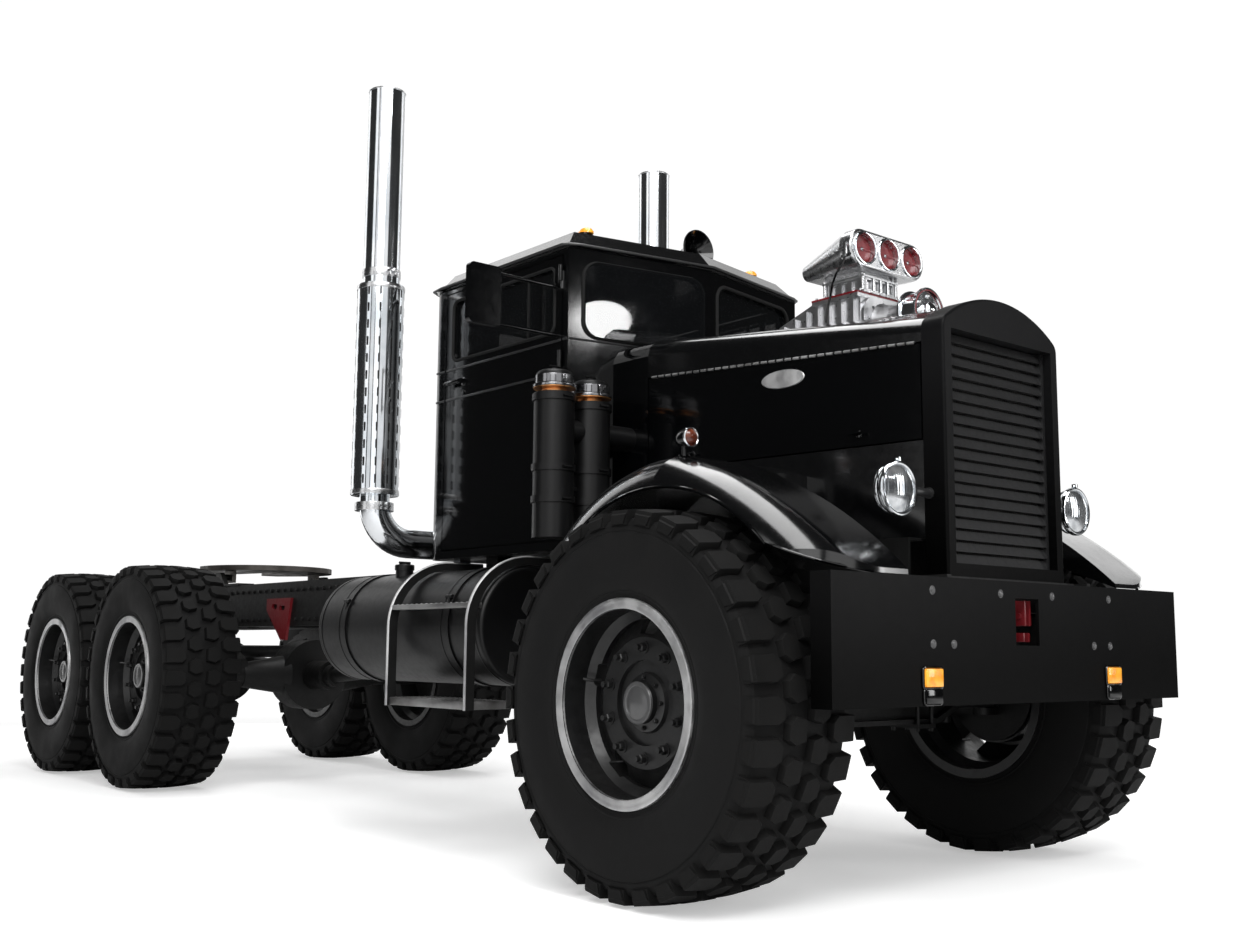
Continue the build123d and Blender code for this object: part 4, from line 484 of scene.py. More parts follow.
def row_build(graph, size):
    """Copies of the incoming mesh in a straight row."""
    line = offset_line(graph, size, size("Step"))
    return graph.node("GeometryNodeInstanceOnPoints", {}, {"Points": line, "Instance": size("Geometry")})


def plain_mesh(obj):
    """What the object's modifiers make of it, as a plain mesh."""
    bpy.context.view_layer.update()
    graph = bpy.context.evaluated_depsgraph_get()
    return bpy.data.meshes.new_from_object(obj.evaluated_get(graph))


def grown(name, bm, tree, values):
    """Runs a tree on a mesh and gives back the plain result."""
    carrier = bpy.data.objects.new(name + "_seed", mesh_of(name + "_seed", bm))
    bpy.context.scene.collection.objects.link(carrier)
    modifier = carrier.modifiers.new("repeat", "NODES")
    modifier.node_group = tree
    sockets = {item.name: item.identifier for item in tree.interface.items_tree
               if item.item_type == "SOCKET" and item.in_out == "INPUT"}
    for label, value in values.items():
        modifier[sockets[label]] = value
    mesh = plain_mesh(carrier)
    mesh.name = name
    carrier.modifiers.remove(modifier)
    bpy.data.objects.remove(carrier)
    return mesh


def placed(parts, side, shift):
    """One bmesh of several plain meshes, mirrored for the right side, then moved."""
    bm = bmesh.new()
    for mesh in parts:
        bm.from_mesh(mesh)
    if side < 0:
        bmesh.ops.scale(bm, vec=(-1, 1, 1), verts=bm.verts)
    bmesh.ops.translate(bm, vec=shift, verts=bm.verts)
    return bm


COUNT = ("Count", "NodeSocketInt", 10)
PHASE = ("Phase", "NodeSocketFloat", 0.0)
STEP = ("Step", "NodeSocketVector", (0.0, 0.0, 0.0))
RING = {finish: repeat_tree("ring_" + finish.name, (COUNT, PHASE), ring_build, finish)
        for finish in (tread_rubber, wheel_black)}
ROW = {finish: repeat_tree("row_" + finish.name, (COUNT, STEP), row_build, finish)
       for finish in (chassis_black, worn_steel)}


def row(name, seed, finish, body, count, step):
    """A straight row of one small part, as one piece."""
    settle(name, grown(name, seed, ROW[finish], {"Count": count, "Step": step}), finish, body)


# ---- tyres and wheels ----
LUGS = 32
LUG_BASE_R = 0.634
LUG_TOP_R = TYRE_R - 0.0005
CROWN = 0.014               # how far the tread falls towards its shoulders
MID_X = (TYRE_IN + TYRE_OUT) / 2
DISC_X = 1.09
FLANGE_X = 1.2
BEAD_R = 0.352
WHEELS = (
    ("front_left", "wheel_fl", 1), ("front_right", "wheel_fr", -1), ("middle_left", "wheel_ml", 1),
    ("middle_right", "wheel_mr", -1), ("rear_left", "wheel_rl", 1), ("rear_right", "wheel_rr", -1),
)
# base outlines of the tread blocks, as (x, distance round the tyre)
SHOULDER = [(TYRE_OUT - 0.006, -0.046), (TYRE_OUT - 0.006, 0.046), (TYRE_OUT - 0.1, 0.05),
            (TYRE_OUT - 0.128, 0.022), (TYRE_OUT - 0.128, -0.03), (TYRE_OUT - 0.1, -0.05)]
CENTRE = [(MID_X + 0.096, -0.03), (MID_X + 0.096, 0.026), (MID_X + 0.062, 0.052), (MID_X + 0.016, 0.04),
          (MID_X + 0.01, -0.036), (MID_X + 0.06, -0.05)]
FLANK = ((TYRE_R - 0.062, TYRE_OUT - 0.002, 0.03), (TYRE_R - 0.03, TYRE_OUT - 0.004, 0.04),
         (TYRE_R - 0.014, TYRE_OUT - 0.022, 0.043))     # radius, x and half length of a shoulder block's side
FLANK_DEEP = 0.05
CARCASS = [  # (x, radius) round the outside of the tyre, from the outer bead to the middle of the tread
    (TYRE_OUT - 0.03, BEAD_R), (TYRE_OUT - 0.027, 0.372), (TYRE_OUT - 0.02, 0.38), (TYRE_OUT - 0.021, 0.386),
    (TYRE_OUT - 0.013, 0.402), (TYRE_OUT - 0.007, 0.43), (TYRE_OUT - 0.003, 0.47), (TYRE_OUT - 0.001, 0.51),
    (TYRE_OUT - 0.003, 0.552), (TYRE_OUT - 0.008, 0.584), (TYRE_OUT - 0.012, 0.588), (TYRE_OUT - 0.01, 0.594),
    (TYRE_OUT - 0.014, 0.612), (TYRE_OUT - 0.028, 0.63), (TYRE_OUT - 0.06, 0.64), (MID_X + 0.09, 0.645),
    (MID_X, 0.646),
]
HOLLOW = [  # the same round the inside
    (TYRE_IN + 0.05, BEAD_R), (TYRE_IN + 0.06, 0.5), (TYRE_IN + 0.1, 0.6), (TYRE_OUT - 0.1, 0.6),
    (TYRE_OUT - 0.06, 0.5), (TYRE_OUT - 0.05, BEAD_R),
]
RIM_EDGE = [(-0.004, 0.3208), (0.0006, 0.3216), (0.0016, 0.326), (0.0009, 0.334), (0.0016, 0.345),
            (0.0026, 0.353), (0.0014, 0.3575), (-0.0015, 0.3588), (-0.01, 0.3588), (-0.01, 0.3208)]
HUB_CAP = [(0.03, 0), (0.03, 0.071), (0.0335, 0.0735), (0.0365, 0.07), (0.0365, 0.06), (0.034, 0.057),
           (0.0345, 0.05), (0.0385, 0.044), (0.0395, 0)]
NUT_R = 0.19
NUTS = 10
HUB_BOLT_R = 0.0865
HUB_BOLTS = 8


def round_tyre(x, along, radius):
    """A point at a distance round the tyre, about an axle through the origin."""
    angle = along / TYRE_R
    return (x, radius * math.sin(angle), radius * math.cos(angle))


def lug(corners, top_inset, base_r):
    """A tread block over the axle: a base outline of (x, y) corners, drawn in towards its top."""
    bm = bmesh.new()
    middle = Vector((sum(c[0] for c in corners) / len(corners), sum(c[1] for c in corners) / len(corners)))
    rings = []
    for inset, radius in ((0.0, base_r), (top_inset * 0.6, LUG_TOP_R - 0.006), (top_inset, LUG_TOP_R)):
        rings.append([])
        for corner in corners:
            point = Vector(corner)
            point += (middle - point).normalized() * inset
            fall = CROWN * ((point.x - MID_X) / (TYRE_OUT - MID_X)) ** 2
            rings[-1].append(bm.verts.new(round_tyre(point.x, point.y, radius - fall)))
    bridge(bm, rings)
    bm.faces.new(rings[-1])
    return bm


def mirrored(corners, side):
    return [(MID_X + side * (x - MID_X), y) for x, y in corners]


def shoulder_flank(side):
    """The side of a shoulder block that runs down the sidewall."""
    bm = bmesh.new()
    rings = []
    for radius, x, half in FLANK:
        deep = x - FLANK_DEEP
        outline = ((x, -half), (x, half), (deep, half + 0.002), (deep, -half - 0.002))
        rings.append([bm.verts.new(round_tyre(px, py, radius)) for px, py in mirrored(outline, side)])
    bridge(bm, rings)
    bm.faces.new(rings[0])
    bm.faces.new(rings[-1])
    return bm


def tread():
    """All the tread blocks of one tyre, about an axle through the origin."""
    parts = []
    ring = RING[tread_rubber]
    for side, phase in ((1, 0.0), (-1, 0.5)):
        here = {"Count": LUGS, "Phase": phase}
        between = {"Count": LUGS, "Phase": phase + 0.5}
        parts.append(grown("shoulder", lug(mirrored(SHOULDER, side), 0.008, LUG_BASE_R - 0.012), ring, here))
        parts.append(grown("centre", lug(mirrored(CENTRE, side), 0.007, LUG_BASE_R), ring, between))
        parts.append(grown("flank", shoulder_flank(side), ring, here))
    return parts


def hex_bolt(bm, centre, axis, radius, height):
    """A washer and a six-sided head with its corners taken off."""
    lathe(bm, [(-0.001, 0), (-0.001, radius * 1.35), (height * 0.18, radius * 1.35), (height * 0.2, 0)],
          centre, axis, 20)
    lathe(bm, [(height * 0.15, 0), (height * 0.15, radius), (height * 0.85, radius), (height, radius * 0.82),
               (height, 0)], centre, axis, 6)


def wheel_fastenings():
    """Nuts on their studs and the small bolts of the hub, about an axle through the origin."""
    nut = bmesh.new()
    hex_bolt(nut, (DISC_X, 0, NUT_R), (1, 0, 0), 0.0165, 0.026)
    tube(nut, [(DISC_X + 0.02, 0, NUT_R), (DISC_X + 0.04, 0, NUT_R)], 0.0105, 12)
    bolt = bmesh.new()
    hex_bolt(bolt, (DISC_X + 0.003, 0, HUB_BOLT_R), (1, 0, 0), 0.0065, 0.009)
    ring = RING[wheel_black]
    return [grown("nuts", nut, ring, {"Count": NUTS}), grown("hub_bolts", bolt, ring, {"Count": HUB_BOLTS})]


TREAD_PARTS = tread()
for name, body, side in WHEELS:
    low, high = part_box("tyre_" + name)
    axle = Vector((0.0, (low[1] + high[1]) / 2, AXLE_Z))
    bm = bmesh.new()
    outline = [(side * x, r) for x, r in CARCASS]
    outline += [(side * (2 * MID_X - x), r) for x, r in reversed(CARCASS[:-1])]
    lathe(bm, outline + [(side * x, r) for x, r in HOLLOW], axle, (1, 0, 0), 128, closed=True)
    piece("tyre_wall_" + name, bm, sidewall_rubber, body, 32, "tyre_" + name)
    piece("tread_" + name, placed(TREAD_PARTS, side, axle), tread_rubber, body, 25)

# rims: bare edge ring, nuts, tyre valve and hub cap
VALVE = ((-0.02, 0.262, 0.07), (0.02, 0.266, 0.071), (0.045, 0.284, 0.076))     # from the disc's middle
FASTENINGS = wheel_fastenings()
for name, body, side in WHEELS:
    low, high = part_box("wheel_" + name)
    axle = Vector((0.0, (low[1] + high[1]) / 2, AXLE_Z))
    bm = bmesh.new()
    lathe(bm, RIM_EDGE, axle + Vector((side * FLANGE_X, 0, 0)), (side, 0, 0), 96, closed=True)
    piece("rim_edge_" + name, bm, rim_metal, body)
    bm = placed(FASTENINGS, side, axle)
    tube(bm, [axle + Vector((side * (DISC_X + out), y, z)) for out, y, z in VALVE], 0.006, 10)
    piece("wheel_nuts_" + name, bm, wheel_black, body, 30)
    bm = bmesh.new()
    lathe(bm, HUB_CAP, axle + Vector((side * DISC_X, 0, 0)), (side, 0, 0), 48)
    piece("hub_cap_" + name, bm, hub_grey, body)


# ---- shapes that the fittings share ----

def dome(bm, centre, axis, radius, height, segments=20):
    lathe(bm, [(-0.001, 0), (-0.001, radius), (height * 0.25, radius), (height * 0.7, radius * 0.75),
               (height * 0.95, radius * 0.35), (height, 0)], centre, axis, segments)


def hoop(bm, section, centre, axis, segments=64):
    """A ring whose cross-section is a closed list of (along, radius)."""
    lathe(bm, section, centre, axis, segments, closed=True)


def band(bm, at, radius, width, thick, centre, axis, segments=48):
    """A flat band round a bar: at is its place along the axis."""
    half = width / 2
    hoop(bm, [(at - half, radius), (at - half, radius + thick * 0.8), (at - half * 0.8, radius + thick),
              (at + half * 0.8, radius + thick), (at + half, radius + thick * 0.8), (at + half, radius)],
         centre, axis, segments)


def bar(bm, at, reach, radius, segments=10):
    """A short round bar centred on a point, reaching the same way to both sides."""
    tube(bm, [Vector(at) - Vector(reach), Vector(at) + Vector(reach)], radius, segments)


def rounded_loop(origin, across, upward, width, height, corner, steps=7):
    """Points round a rounded rectangle, starting and ending at the middle of its lower side."""
    origin, across, upward = Vector(origin), Vector(across).normalized(), Vector(upward).normalized()
    points = [origin - upward * height / 2]
    for sx, sy, start in ((1, -1, -90), (1, 1, 0), (-1, 1, 90), (-1, -1, 180)):
        cx = sx * (width / 2 - corner)
        cy = sy * (height / 2 - corner)
        for i in range(steps + 1):
            a = math.radians(start + 90 * i / steps)
            points.append(origin + across * (cx + corner * math.cos(a))
                          + upward * (cy + corner * math.sin(a)))
    points.append(points[0])
    return points


def dense(points, gap):
    """The same path with a point at least every gap."""
    points = [Vector(p) for p in points]
    out = [points[0]]
    for a, b in zip(points, points[1:]):
        n = max(1, math.ceil((b - a).length / gap))
        out += [a.lerp(b, i / n) for i in range(1, n + 1)]
    return out


# ---- bumper ----
AHEAD = (0, -1, 0)
ACROSS = (1, 0, 0)
UP = (0, 0, 1)
BUMPER_Y = st(-0.813)
BUMPER_BOLTS = ((0.545, 1.0575), (0.16, 1.0575), (0.545, 0.8815), (0.433, 0.8815))
BOLT_WASHER = [(-0.001, 0), (-0.001, 0.015), (0.0015, 0.015), (0.002, 0)]
BUMPER_LAMP_X = 0.556
LAMP_Z = 0.772
LOWER_Z = 0.711             # the dark lens under each lamp
LAMP_FRAMES = ((LAMP_Z, 0.1, 0.068, 0.01, 0.0045), (LOWER_Z, 0.092, 0.052, 0.012, 0.004))
bm = bmesh.new()
for side in LEFT_RIGHT:
    for x, z in BUMPER_BOLTS:
        lathe(bm, BOLT_WASHER, (side * x, BUMPER_Y, z), AHEAD, 24)
        dome(bm, (side * x, BUMPER_Y - 0.0015, z), AHEAD, 0.011, 0.007)
fixed("bumper_bolts", bm, hub_grey)
bm = bmesh.new()
for side in LEFT_RIGHT:
    x = side * BUMPER_LAMP_X
    for z, width, height, corner, radius in LAMP_FRAMES:
        loop = rounded_loop((x, BUMPER_Y - 0.003, z), ACROSS, UP, width, height, corner)
        tube(bm, loop, radius, 8, cap=False)
    block_at(bm, (x, BUMPER_Y - 0.0055, LOWER_Z), (0.043, 0.006, 0.023), 0.004)
fixed("bumper_lamp_frames", bm, body_black)
# the red recovery hook behind the bumper's opening: two cheeks with their feet, and a pin
HOOK_CHEEKS = ((-0.785, 0.95, -0.72, 1.04, 0.004), (-0.778, 0.893, -0.735, 0.925, 0.003))
CHEEK_THICK = 0.012
HOOK_PIN = Vector((0.047, st(-0.762), 0.985))
bm = bmesh.new()
for x in (0.026, 0.056):
    for front, low, back, high, chamfer in HOOK_CHEEKS:
        block(bm, (x, st(front), low), (x + CHEEK_THICK, st(back), high), chamfer)
bar(bm, HOOK_PIN, (0.031, 0, 0), 0.011, 16)
fixed("recovery_hook", bm, red_enamel, 40)

# ---- lamps and horn ----
ROOF_LAMP = (0.526, 1.07, 2.718)
ROOF_LAMP_FOOT = (0.526, 1.07, 2.687)
FENDER_LAMP = (0.905, -0.012, 1.618)
FENDER_STALK = (0.905, 0.0, 1.545)
HEADLAMP = (0.549, -0.706, 1.405)
bm = bmesh.new()
for side in LEFT_RIGHT:
    x = side * BUMPER_LAMP_X
    block_at(bm, (x, BUMPER_Y - 0.00625, LAMP_Z), (0.046, 0.00725, 0.03), 0.006)
    roof = bmesh.new()
    dome(roof, (0, 0, 0), UP, 0.03, 0.03, 28)
    bmesh.ops.scale(roof, vec=(1.0, 1.5, 1.0), verts=roof.verts)
    bmesh.ops.translate(roof, vec=spot(side, ROOF_LAMP), verts=roof.verts)
    swap = mesh_of("swap", roof)
    bm.from_mesh(swap)
    bpy.data.meshes.remove(swap)
fixed("amber_lenses", bm, amber, stands_for="marker_lamps")
shells, bezels, glasses, lenses = (bmesh.new() for _ in range(4))
for side in LEFT_RIGHT:
    at = spot(side, FENDER_LAMP)
    foot = spot(side, FENDER_STALK)
    lathe(shells, [(-0.046, 0), (-0.045, 0.012), (-0.036, 0.024), (-0.018, 0.032), (0.012, 0.0345),
                   (0.02, 0.0345), (0.02, 0)], at, AHEAD, 32)
    tube(shells, [foot, foot + Vector((0, 0, 0.055))], 0.01, 14)
    lathe(shells, [(0, 0), (0, 0.024), (0.004, 0.022), (0.006, 0)], foot + Vector((0, 0, 0.0065)), UP, 24)
    lathe(shells, [(-0.002, 0), (-0.002, 0.044), (0.016, 0.039), (0.032, 0.034), (0.0325, 0)],
          spot(side, ROOF_LAMP_FOOT), UP, 32)
    hoop(bezels, [(0.019, 0.03), (0.019, 0.0355), (0.022, 0.0372), (0.026, 0.0365), (0.028, 0.0325),
                  (0.026, 0.03)], at, AHEAD, 40)
    head = spot(side, HEADLAMP)
    hoop(bezels, [(-0.036, 0.084), (-0.036, 0.0905), (-0.03, 0.0945), (-0.018, 0.0945), (-0.0125, 0.092),
                  (-0.0115, 0.0875), (-0.0135, 0.083)], head, AHEAD, 64)
    band(bezels, -0.052, 0.0826, 0.012, 0.003, head, AHEAD)
    clasp = head + Vector((0, 0.02, 0.0995))
    block(bezels, clasp - Vector((0.006, 0.01, 0.0065)), clasp + Vector((0.006, 0.01, 0.0085)), 0.002)
    bar(bezels, clasp, (0.014, 0, 0), 0.0035, 8)
    lathe(glasses, [(-0.024, 0), (-0.024, 0.083), (-0.0178, 0.083), (-0.0105, 0.067), (-0.003, 0.043),
                    (0.0008, 0.02), (0.0018, 0)], head, AHEAD, 64)
    lathe(lenses, [(0.018, 0), (0.018, 0.031), (0.026, 0.031), (0.034, 0.021), (0.038, 0.01), (0.039, 0)],
          at, AHEAD, 32)
fixed("fender_lamp_shells", shells, body_black)
fixed("lamp_bezels", bezels, chrome)
fixed("headlamp_glass", glasses, headlamp_glass)
fixed("fender_lamp_lenses", lenses, lamp_red)

# roof horn: flared bell with its throat and driver, the bell's inside, two feet on a rail, an air pipe
HORN = Vector((0.205, st(1.1), 2.8))
HORN_BODY = [(0.004, 0.095), (0.002, 0.0995), (-0.003, 0.1), (-0.01, 0.092), (-0.03, 0.07), (-0.06, 0.046),
             (-0.11, 0.028), (-0.18, 0.021), (-0.215, 0.02), (-0.218, 0.03), (-0.3, 0.03),
             (-0.312, 0.018), (-0.312, 0)]
HORN_MOUTH = [(0.004, 0.095), (-0.014, 0.076), (-0.045, 0.046), (-0.09, 0.025), (-0.12, 0.018), (-0.12, 0)]
HORN_PIPE = ((-0.01, 0.3, 0), (-0.06, 0.3, -0.03), (-0.12, 0.28, -0.085), (-0.22, 0.25, -0.108))
HORN_FOOT_Z = -0.113
bm = bmesh.new()
lathe(bm, HORN_BODY, HORN, AHEAD, 56)
lathe(bm, HORN_MOUTH, HORN, AHEAD, 56)
for back, top, radius in ((0.235, -0.02, 0.014), (0.07, -0.03, 0.011)):
    tube(bm, [HORN + Vector((0, back, top)), HORN + Vector((0, back, HORN_FOOT_Z))], radius, 16)
block(bm, HORN + Vector((-0.028, 0.04, -0.1145)), HORN + Vector((0.028, 0.27, -0.106)), 0.003)
tube(bm, [HORN + Vector(p) for p in HORN_PIPE], 0.006, 10)
fixed("horn", bm, body_black, stands_for="roof_horn")

# ---- bonnet: hinge knuckles, blank oval plates, latches ----
HOOD_FRONT = (0.36, -0.65, 1.948)     # the hinge line's front end
HOOD_LONG = 1.315
HOOD_FLARE = 0.14 / HOOD_LONG          # how fast the bonnet widens towards the cab
HINGE_RISE = 0.048 / HOOD_LONG
KNUCKLES = 33
KNUCKLE_GAP = 0.0385
PLATE_AT = (-0.04, 1.897)              # station and height
PLATE_HALF_SIZE = (0.104, 0.037)
PLATE_THICK = 0.0045
LATCH_STATIONS = (-0.38, 0.42)
LATCH_Z = 1.645
LATCH = [(-0.001, 0), (-0.001, 0.016), (0.004, 0.014), (0.005, 0.007), (0.022, 0.006), (0.022, 0)]


def hood_side(station):
    """Outer face of the bonnet's side."""
    return HOOD_FRONT[0] + HOOD_FLARE * (station - HOOD_FRONT[1])


for side, body in ((1, "hood_side_l"), (-1, "hood_side_r")):
    run = Vector((side * HOOD_FLARE, 1.0, HINGE_RISE))
    out_of_face = 0.006 * math.sqrt(1 + HOOD_FLARE ** 2)
    start = Vector((side * (HOOD_FRONT[0] + out_of_face), st(HOOD_FRONT[1]), HOOD_FRONT[2]))
    seed = bmesh.new()
    tube(seed, [start + run * 0.024, start + run * 0.053], 0.0056, 12)
    row("hinge_knuckles_" + body, seed, worn_steel, body, KNUCKLES, run * KNUCKLE_GAP)
    turn = Matrix.Rotation(-side * math.atan(HOOD_FLARE), 3, "Z")
    plate = bmesh.new()
    bmesh.ops.create_circle(plate, cap_ends=True, radius=1.0, segments=64)
    for v in plate.verts:
        v.co = Vector((0.0, v.co.x * PLATE_HALF_SIZE[0], v.co.y * PLATE_HALF_SIZE[1]))
    made = bmesh.ops.extrude_face_region(plate, geom=plate.faces[:])
    for v in (g for g in made["geom"] if isinstance(g, bmesh.types.BMVert)):
        v.co = Vector((side * PLATE_THICK, v.co.y * 0.965, v.co.z * 0.93))
    for v in plate.verts:
        v.co = turn @ v.co + Vector((side * (hood_side(PLATE_AT[0]) - 0.0006), st(PLATE_AT[0]), PLATE_AT[1]))
    piece("blank_plate_" + body, plate, rim_metal, body, 40)
    bm = bmesh.new()
    out = turn @ Vector((side, 0, 0))
    for station in LATCH_STATIONS:
        at = Vector((side * hood_side(station), st(station), LATCH_Z))
        lathe(bm, LATCH, at, out, 24)
        bar(bm, at + out * 0.022, (0, 0.03, 0), 0.005)
    piece("hood_latches_" + body, bm, body_black, body)

# ---- fenders: rolled wire edge round the wheel opening and the nose ----
ARCH_R = 0.752
ARCH_FROM = 136.0           # degrees, from the wire's end on the nose over the wheel to its rear end
ARCH_TURN = 119.0
ARCH_STEPS = 40
NOSE_R = 0.3
NOSE_ST = -0.49
FENDER_X = 1.056
NOSE_EDGE = ((-0.785, 1.108), (-0.74, 1.126), (-0.7, 1.141), (-0.64, 1.164), (-0.58, 1.187), (-0.54, 1.2))
bm = bmesh.new()
for side in LEFT_RIGHT:
    wire = []
    for station, z in NOSE_EDGE:
        reach = max(0.0, NOSE_R ** 2 - (station - NOSE_ST) ** 2)
        wire.append((side * (0.756 + math.sqrt(reach)), st(station), z))
    for i in range(ARCH_STEPS + 1):
        a = math.radians(ARCH_FROM - i * ARCH_TURN / ARCH_STEPS)
        wire.append((side * FENDER_X, st(ARCH_R * math.cos(a)), AXLE_Z + ARCH_R * math.sin(a)))
    tube(bm, wire, 0.0062, 10)
fixed("fender_wire", bm, body_black)

# ---- blower and scoop: gasket, bolts, port plates, mouth rings, rivets, cable ----
CASE_X = 0.14
CASE_ST = (-0.18, 0.06)
GASKET = (2.2685, 2.2755)           # its low and high face
GASKET_OUT = 0.002
CASE_BOLT_Z = 2.2765
CASE_BOLTS_X = (-0.124, -0.066, -0.012, 0.046, 0.1, 0.124)
CASE_BOLTS_ST = (-0.15, -0.1, -0.05, 0.0, 0.045)
STUD = (2.284, 2.338)               # the adapter studs' low and high end
CORNER_STUDS = (0.1035, (-0.178, 0.02))
FRONT_STUDS = (-0.186, (-0.044, 0.0, 0.044))
PULLEY = (0.0, st(-0.42), 2.165)
PULLEY_BOLT_R = 0.062
PULLEY_BOLTS = 6
PORTS_X = (-0.066, -0.022, 0.022, 0.066)
SCOOP_Z = 2.435
MOUTHS_X = (-0.145, 0.0, 0.145)
MOUTH_RING = [(-0.004, 0.0575), (-0.004, 0.0675), (0.0005, 0.068), (0.0035, 0.066), (0.0045, 0.0625),
              (0.0035, 0.059), (0.0, 0.0572)]
PULLEY_NOSE = [(-0.002, 0), (-0.002, 0.036), (0.01, 0.0355), (0.019, 0.029), (0.0245, 0.016), (0.026, 0)]
FACE_RIVETS = ((0.072, 0.06, 0.06), (0.217, 0.0, 0.018))      # x, and how far above and below the middle
SIDE_RIVETS = 9
CABLE = ((-0.238, -0.204, 2.391), (-0.24, -0.19, 2.36), (-0.228, -0.15, 2.335), (-0.196, -0.1, 2.305),
         (-0.162, -0.06, 2.27), (-0.158, -0.04, 2.225), (-0.16, -0.03, 2.165))
bm = bmesh.new()
block(bm, (-CASE_X - GASKET_OUT, st(CASE_ST[0]) - GASKET_OUT, GASKET[0]),
      (CASE_X + GASKET_OUT, st(CASE_ST[0]) + GASKET_OUT, GASKET[1]))
for side in LEFT_RIGHT:
    block(bm, (side * CASE_X - GASKET_OUT, st(CASE_ST[0]), GASKET[0]),
          (side * CASE_X + GASKET_OUT, st(CASE_ST[1]), GASKET[1]))
hoop(bm, [(-0.001, 0.0828), (-0.001, 0.0868), (0.0012, 0.0868), (0.0012, 0.0828)], PULLEY, AHEAD, 64)
fixed("blower_gasket", bm, scoop_red, 30)
bm = bmesh.new()
for x in CASE_BOLTS_X:
    hex_bolt(bm, (x, st(CASE_ST[0]) - 0.004, CASE_BOLT_Z), UP, 0.0062, 0.009)
for side in LEFT_RIGHT:
    for station in CASE_BOLTS_ST:
        hex_bolt(bm, (side * (CASE_X - 0.012), st(station), CASE_BOLT_Z), UP, 0.0062, 0.009)
    for station in CORNER_STUDS[1]:
        x = side * CORNER_STUDS[0]
        tube(bm, [(x, st(station), z) for z in STUD], 0.0075, 14)
        hex_bolt(bm, (x, st(station), STUD[1] + 0.008), UP, 0.0075, 0.01)
for x in FRONT_STUDS[1]:
    tube(bm, [(x, st(FRONT_STUDS[0]), z) for z in STUD], 0.0055, 12)
for i in range(PULLEY_BOLTS):
    a = math.radians(360 / PULLEY_BOLTS * (i + 0.5))
    hex_bolt(bm, (PULLEY_BOLT_R * math.cos(a), PULLEY[1] + 0.008, PULLEY[2] + PULLEY_BOLT_R * math.sin(a)),
             AHEAD, 0.0055, 0.008)
fixed("blower_bolts", bm, polished, 30)
bm = bmesh.new()
for x in PORTS_X:
    block_at(bm, (x, st(-0.16975), 2.311), (0.012, 0.00125, 0.017), 0.0008)
fixed("port_plates", bm, polished)
bm = bmesh.new()
lathe(bm, PULLEY_NOSE, (PULLEY[0], PULLEY[1] + 0.0005, PULLEY[2]), AHEAD, 48)
for x in MOUTHS_X:
    hoop(bm, MOUTH_RING, (x, st(-0.2295), SCOOP_Z), AHEAD, 56)
    hex_bolt(bm, (x, st(-0.2095), SCOOP_Z), AHEAD, 0.005, 0.005)
fixed("scoop_rings", bm, chrome)
bm = bmesh.new()
for side in LEFT_RIGHT:
    for x, above, below in FACE_RIVETS:
        for z in (SCOOP_Z + above, SCOOP_Z - below):
            dome(bm, (side * x, st(-0.2258), z), AHEAD, 0.0042, 0.003, 12)
    for i in range(SIDE_RIVETS):
        share = i / (SIDE_RIVETS - 1)       # from the nose to the narrower, lower tail
        at = (side * (0.2255 - 0.068 * share), st(-0.15 + 0.215 * share), SCOOP_Z - 0.01 - 0.03 * share)
        dome(bm, at, (side, -0.25, 0), 0.0038, 0.003, 12)
block(bm, (-0.2458, st(-0.2135), 2.3855), (-0.2365, st(-0.1945), 2.4445), 0.002)
fixed("scoop_rivets", bm, polished)
bm = bmesh.new()
tube(bm, [spot(1, p) for p in CABLE], 0.0045, 10)
bar(bm, spot(1, CABLE[0]), (0, 0.018, 0), 0.0065, 12)
fixed("throttle_cable", bm, body_black)

# ---- cab: drip rail, seals, door trim, handles, mirror glass, mouldings ----
CAB_X = 0.72
CAB_NOSE_ST = 0.8                 # where the two windscreen panes meet
CAB_CORNER_ST = 0.94
CAB_BACK_ST = 2.0515
SCREEN_RUN = Vector((CAB_X, CAB_CORNER_ST - CAB_NOSE_ST, 0)).normalized()
SCREEN = (0.045, 0.66, 2.2, 2.535)       # a pane from the nose along its run, low and high
RAIL_Z = 2.601
RAIL_PATH = ((0.0, 0.778), (0.68, 0.9122), (0.726, 0.934), (0.742, 0.962), (0.742, 1.93), (0.73, 2.015),
             (0.675, 2.055), (0.0, 2.07))   # x and station
MOULDINGS_Z = (2.185, 2.04)
DOOR_ST = (0.99, 1.895)
DOOR_HINGES_Z = (1.5, 2.45)
HANDLE = ((0.722, 1.742, 2.112), (0.744, 1.744, 2.112), (0.75, 1.756, 2.112), (0.752, 1.852, 2.112),
          (0.749, 1.862, 2.11))
KEYHOLE_Z = 2.062
MIRROR = (1.13, 1.0005, 2.3125)
MIRROR_HALF = (0.072, 0.0015, 0.1195)


def mouldings(bm, side, front, back):
    """The two belt lines on the cab's side, between two stations."""
    low, high = sorted((side * (CAB_X - 0.001), side * (CAB_X + 0.0035)))
    for z in MOULDINGS_Z:
        block(bm, (low, st(front), z - 0.005), (high, st(back), z + 0.005), 0.001)


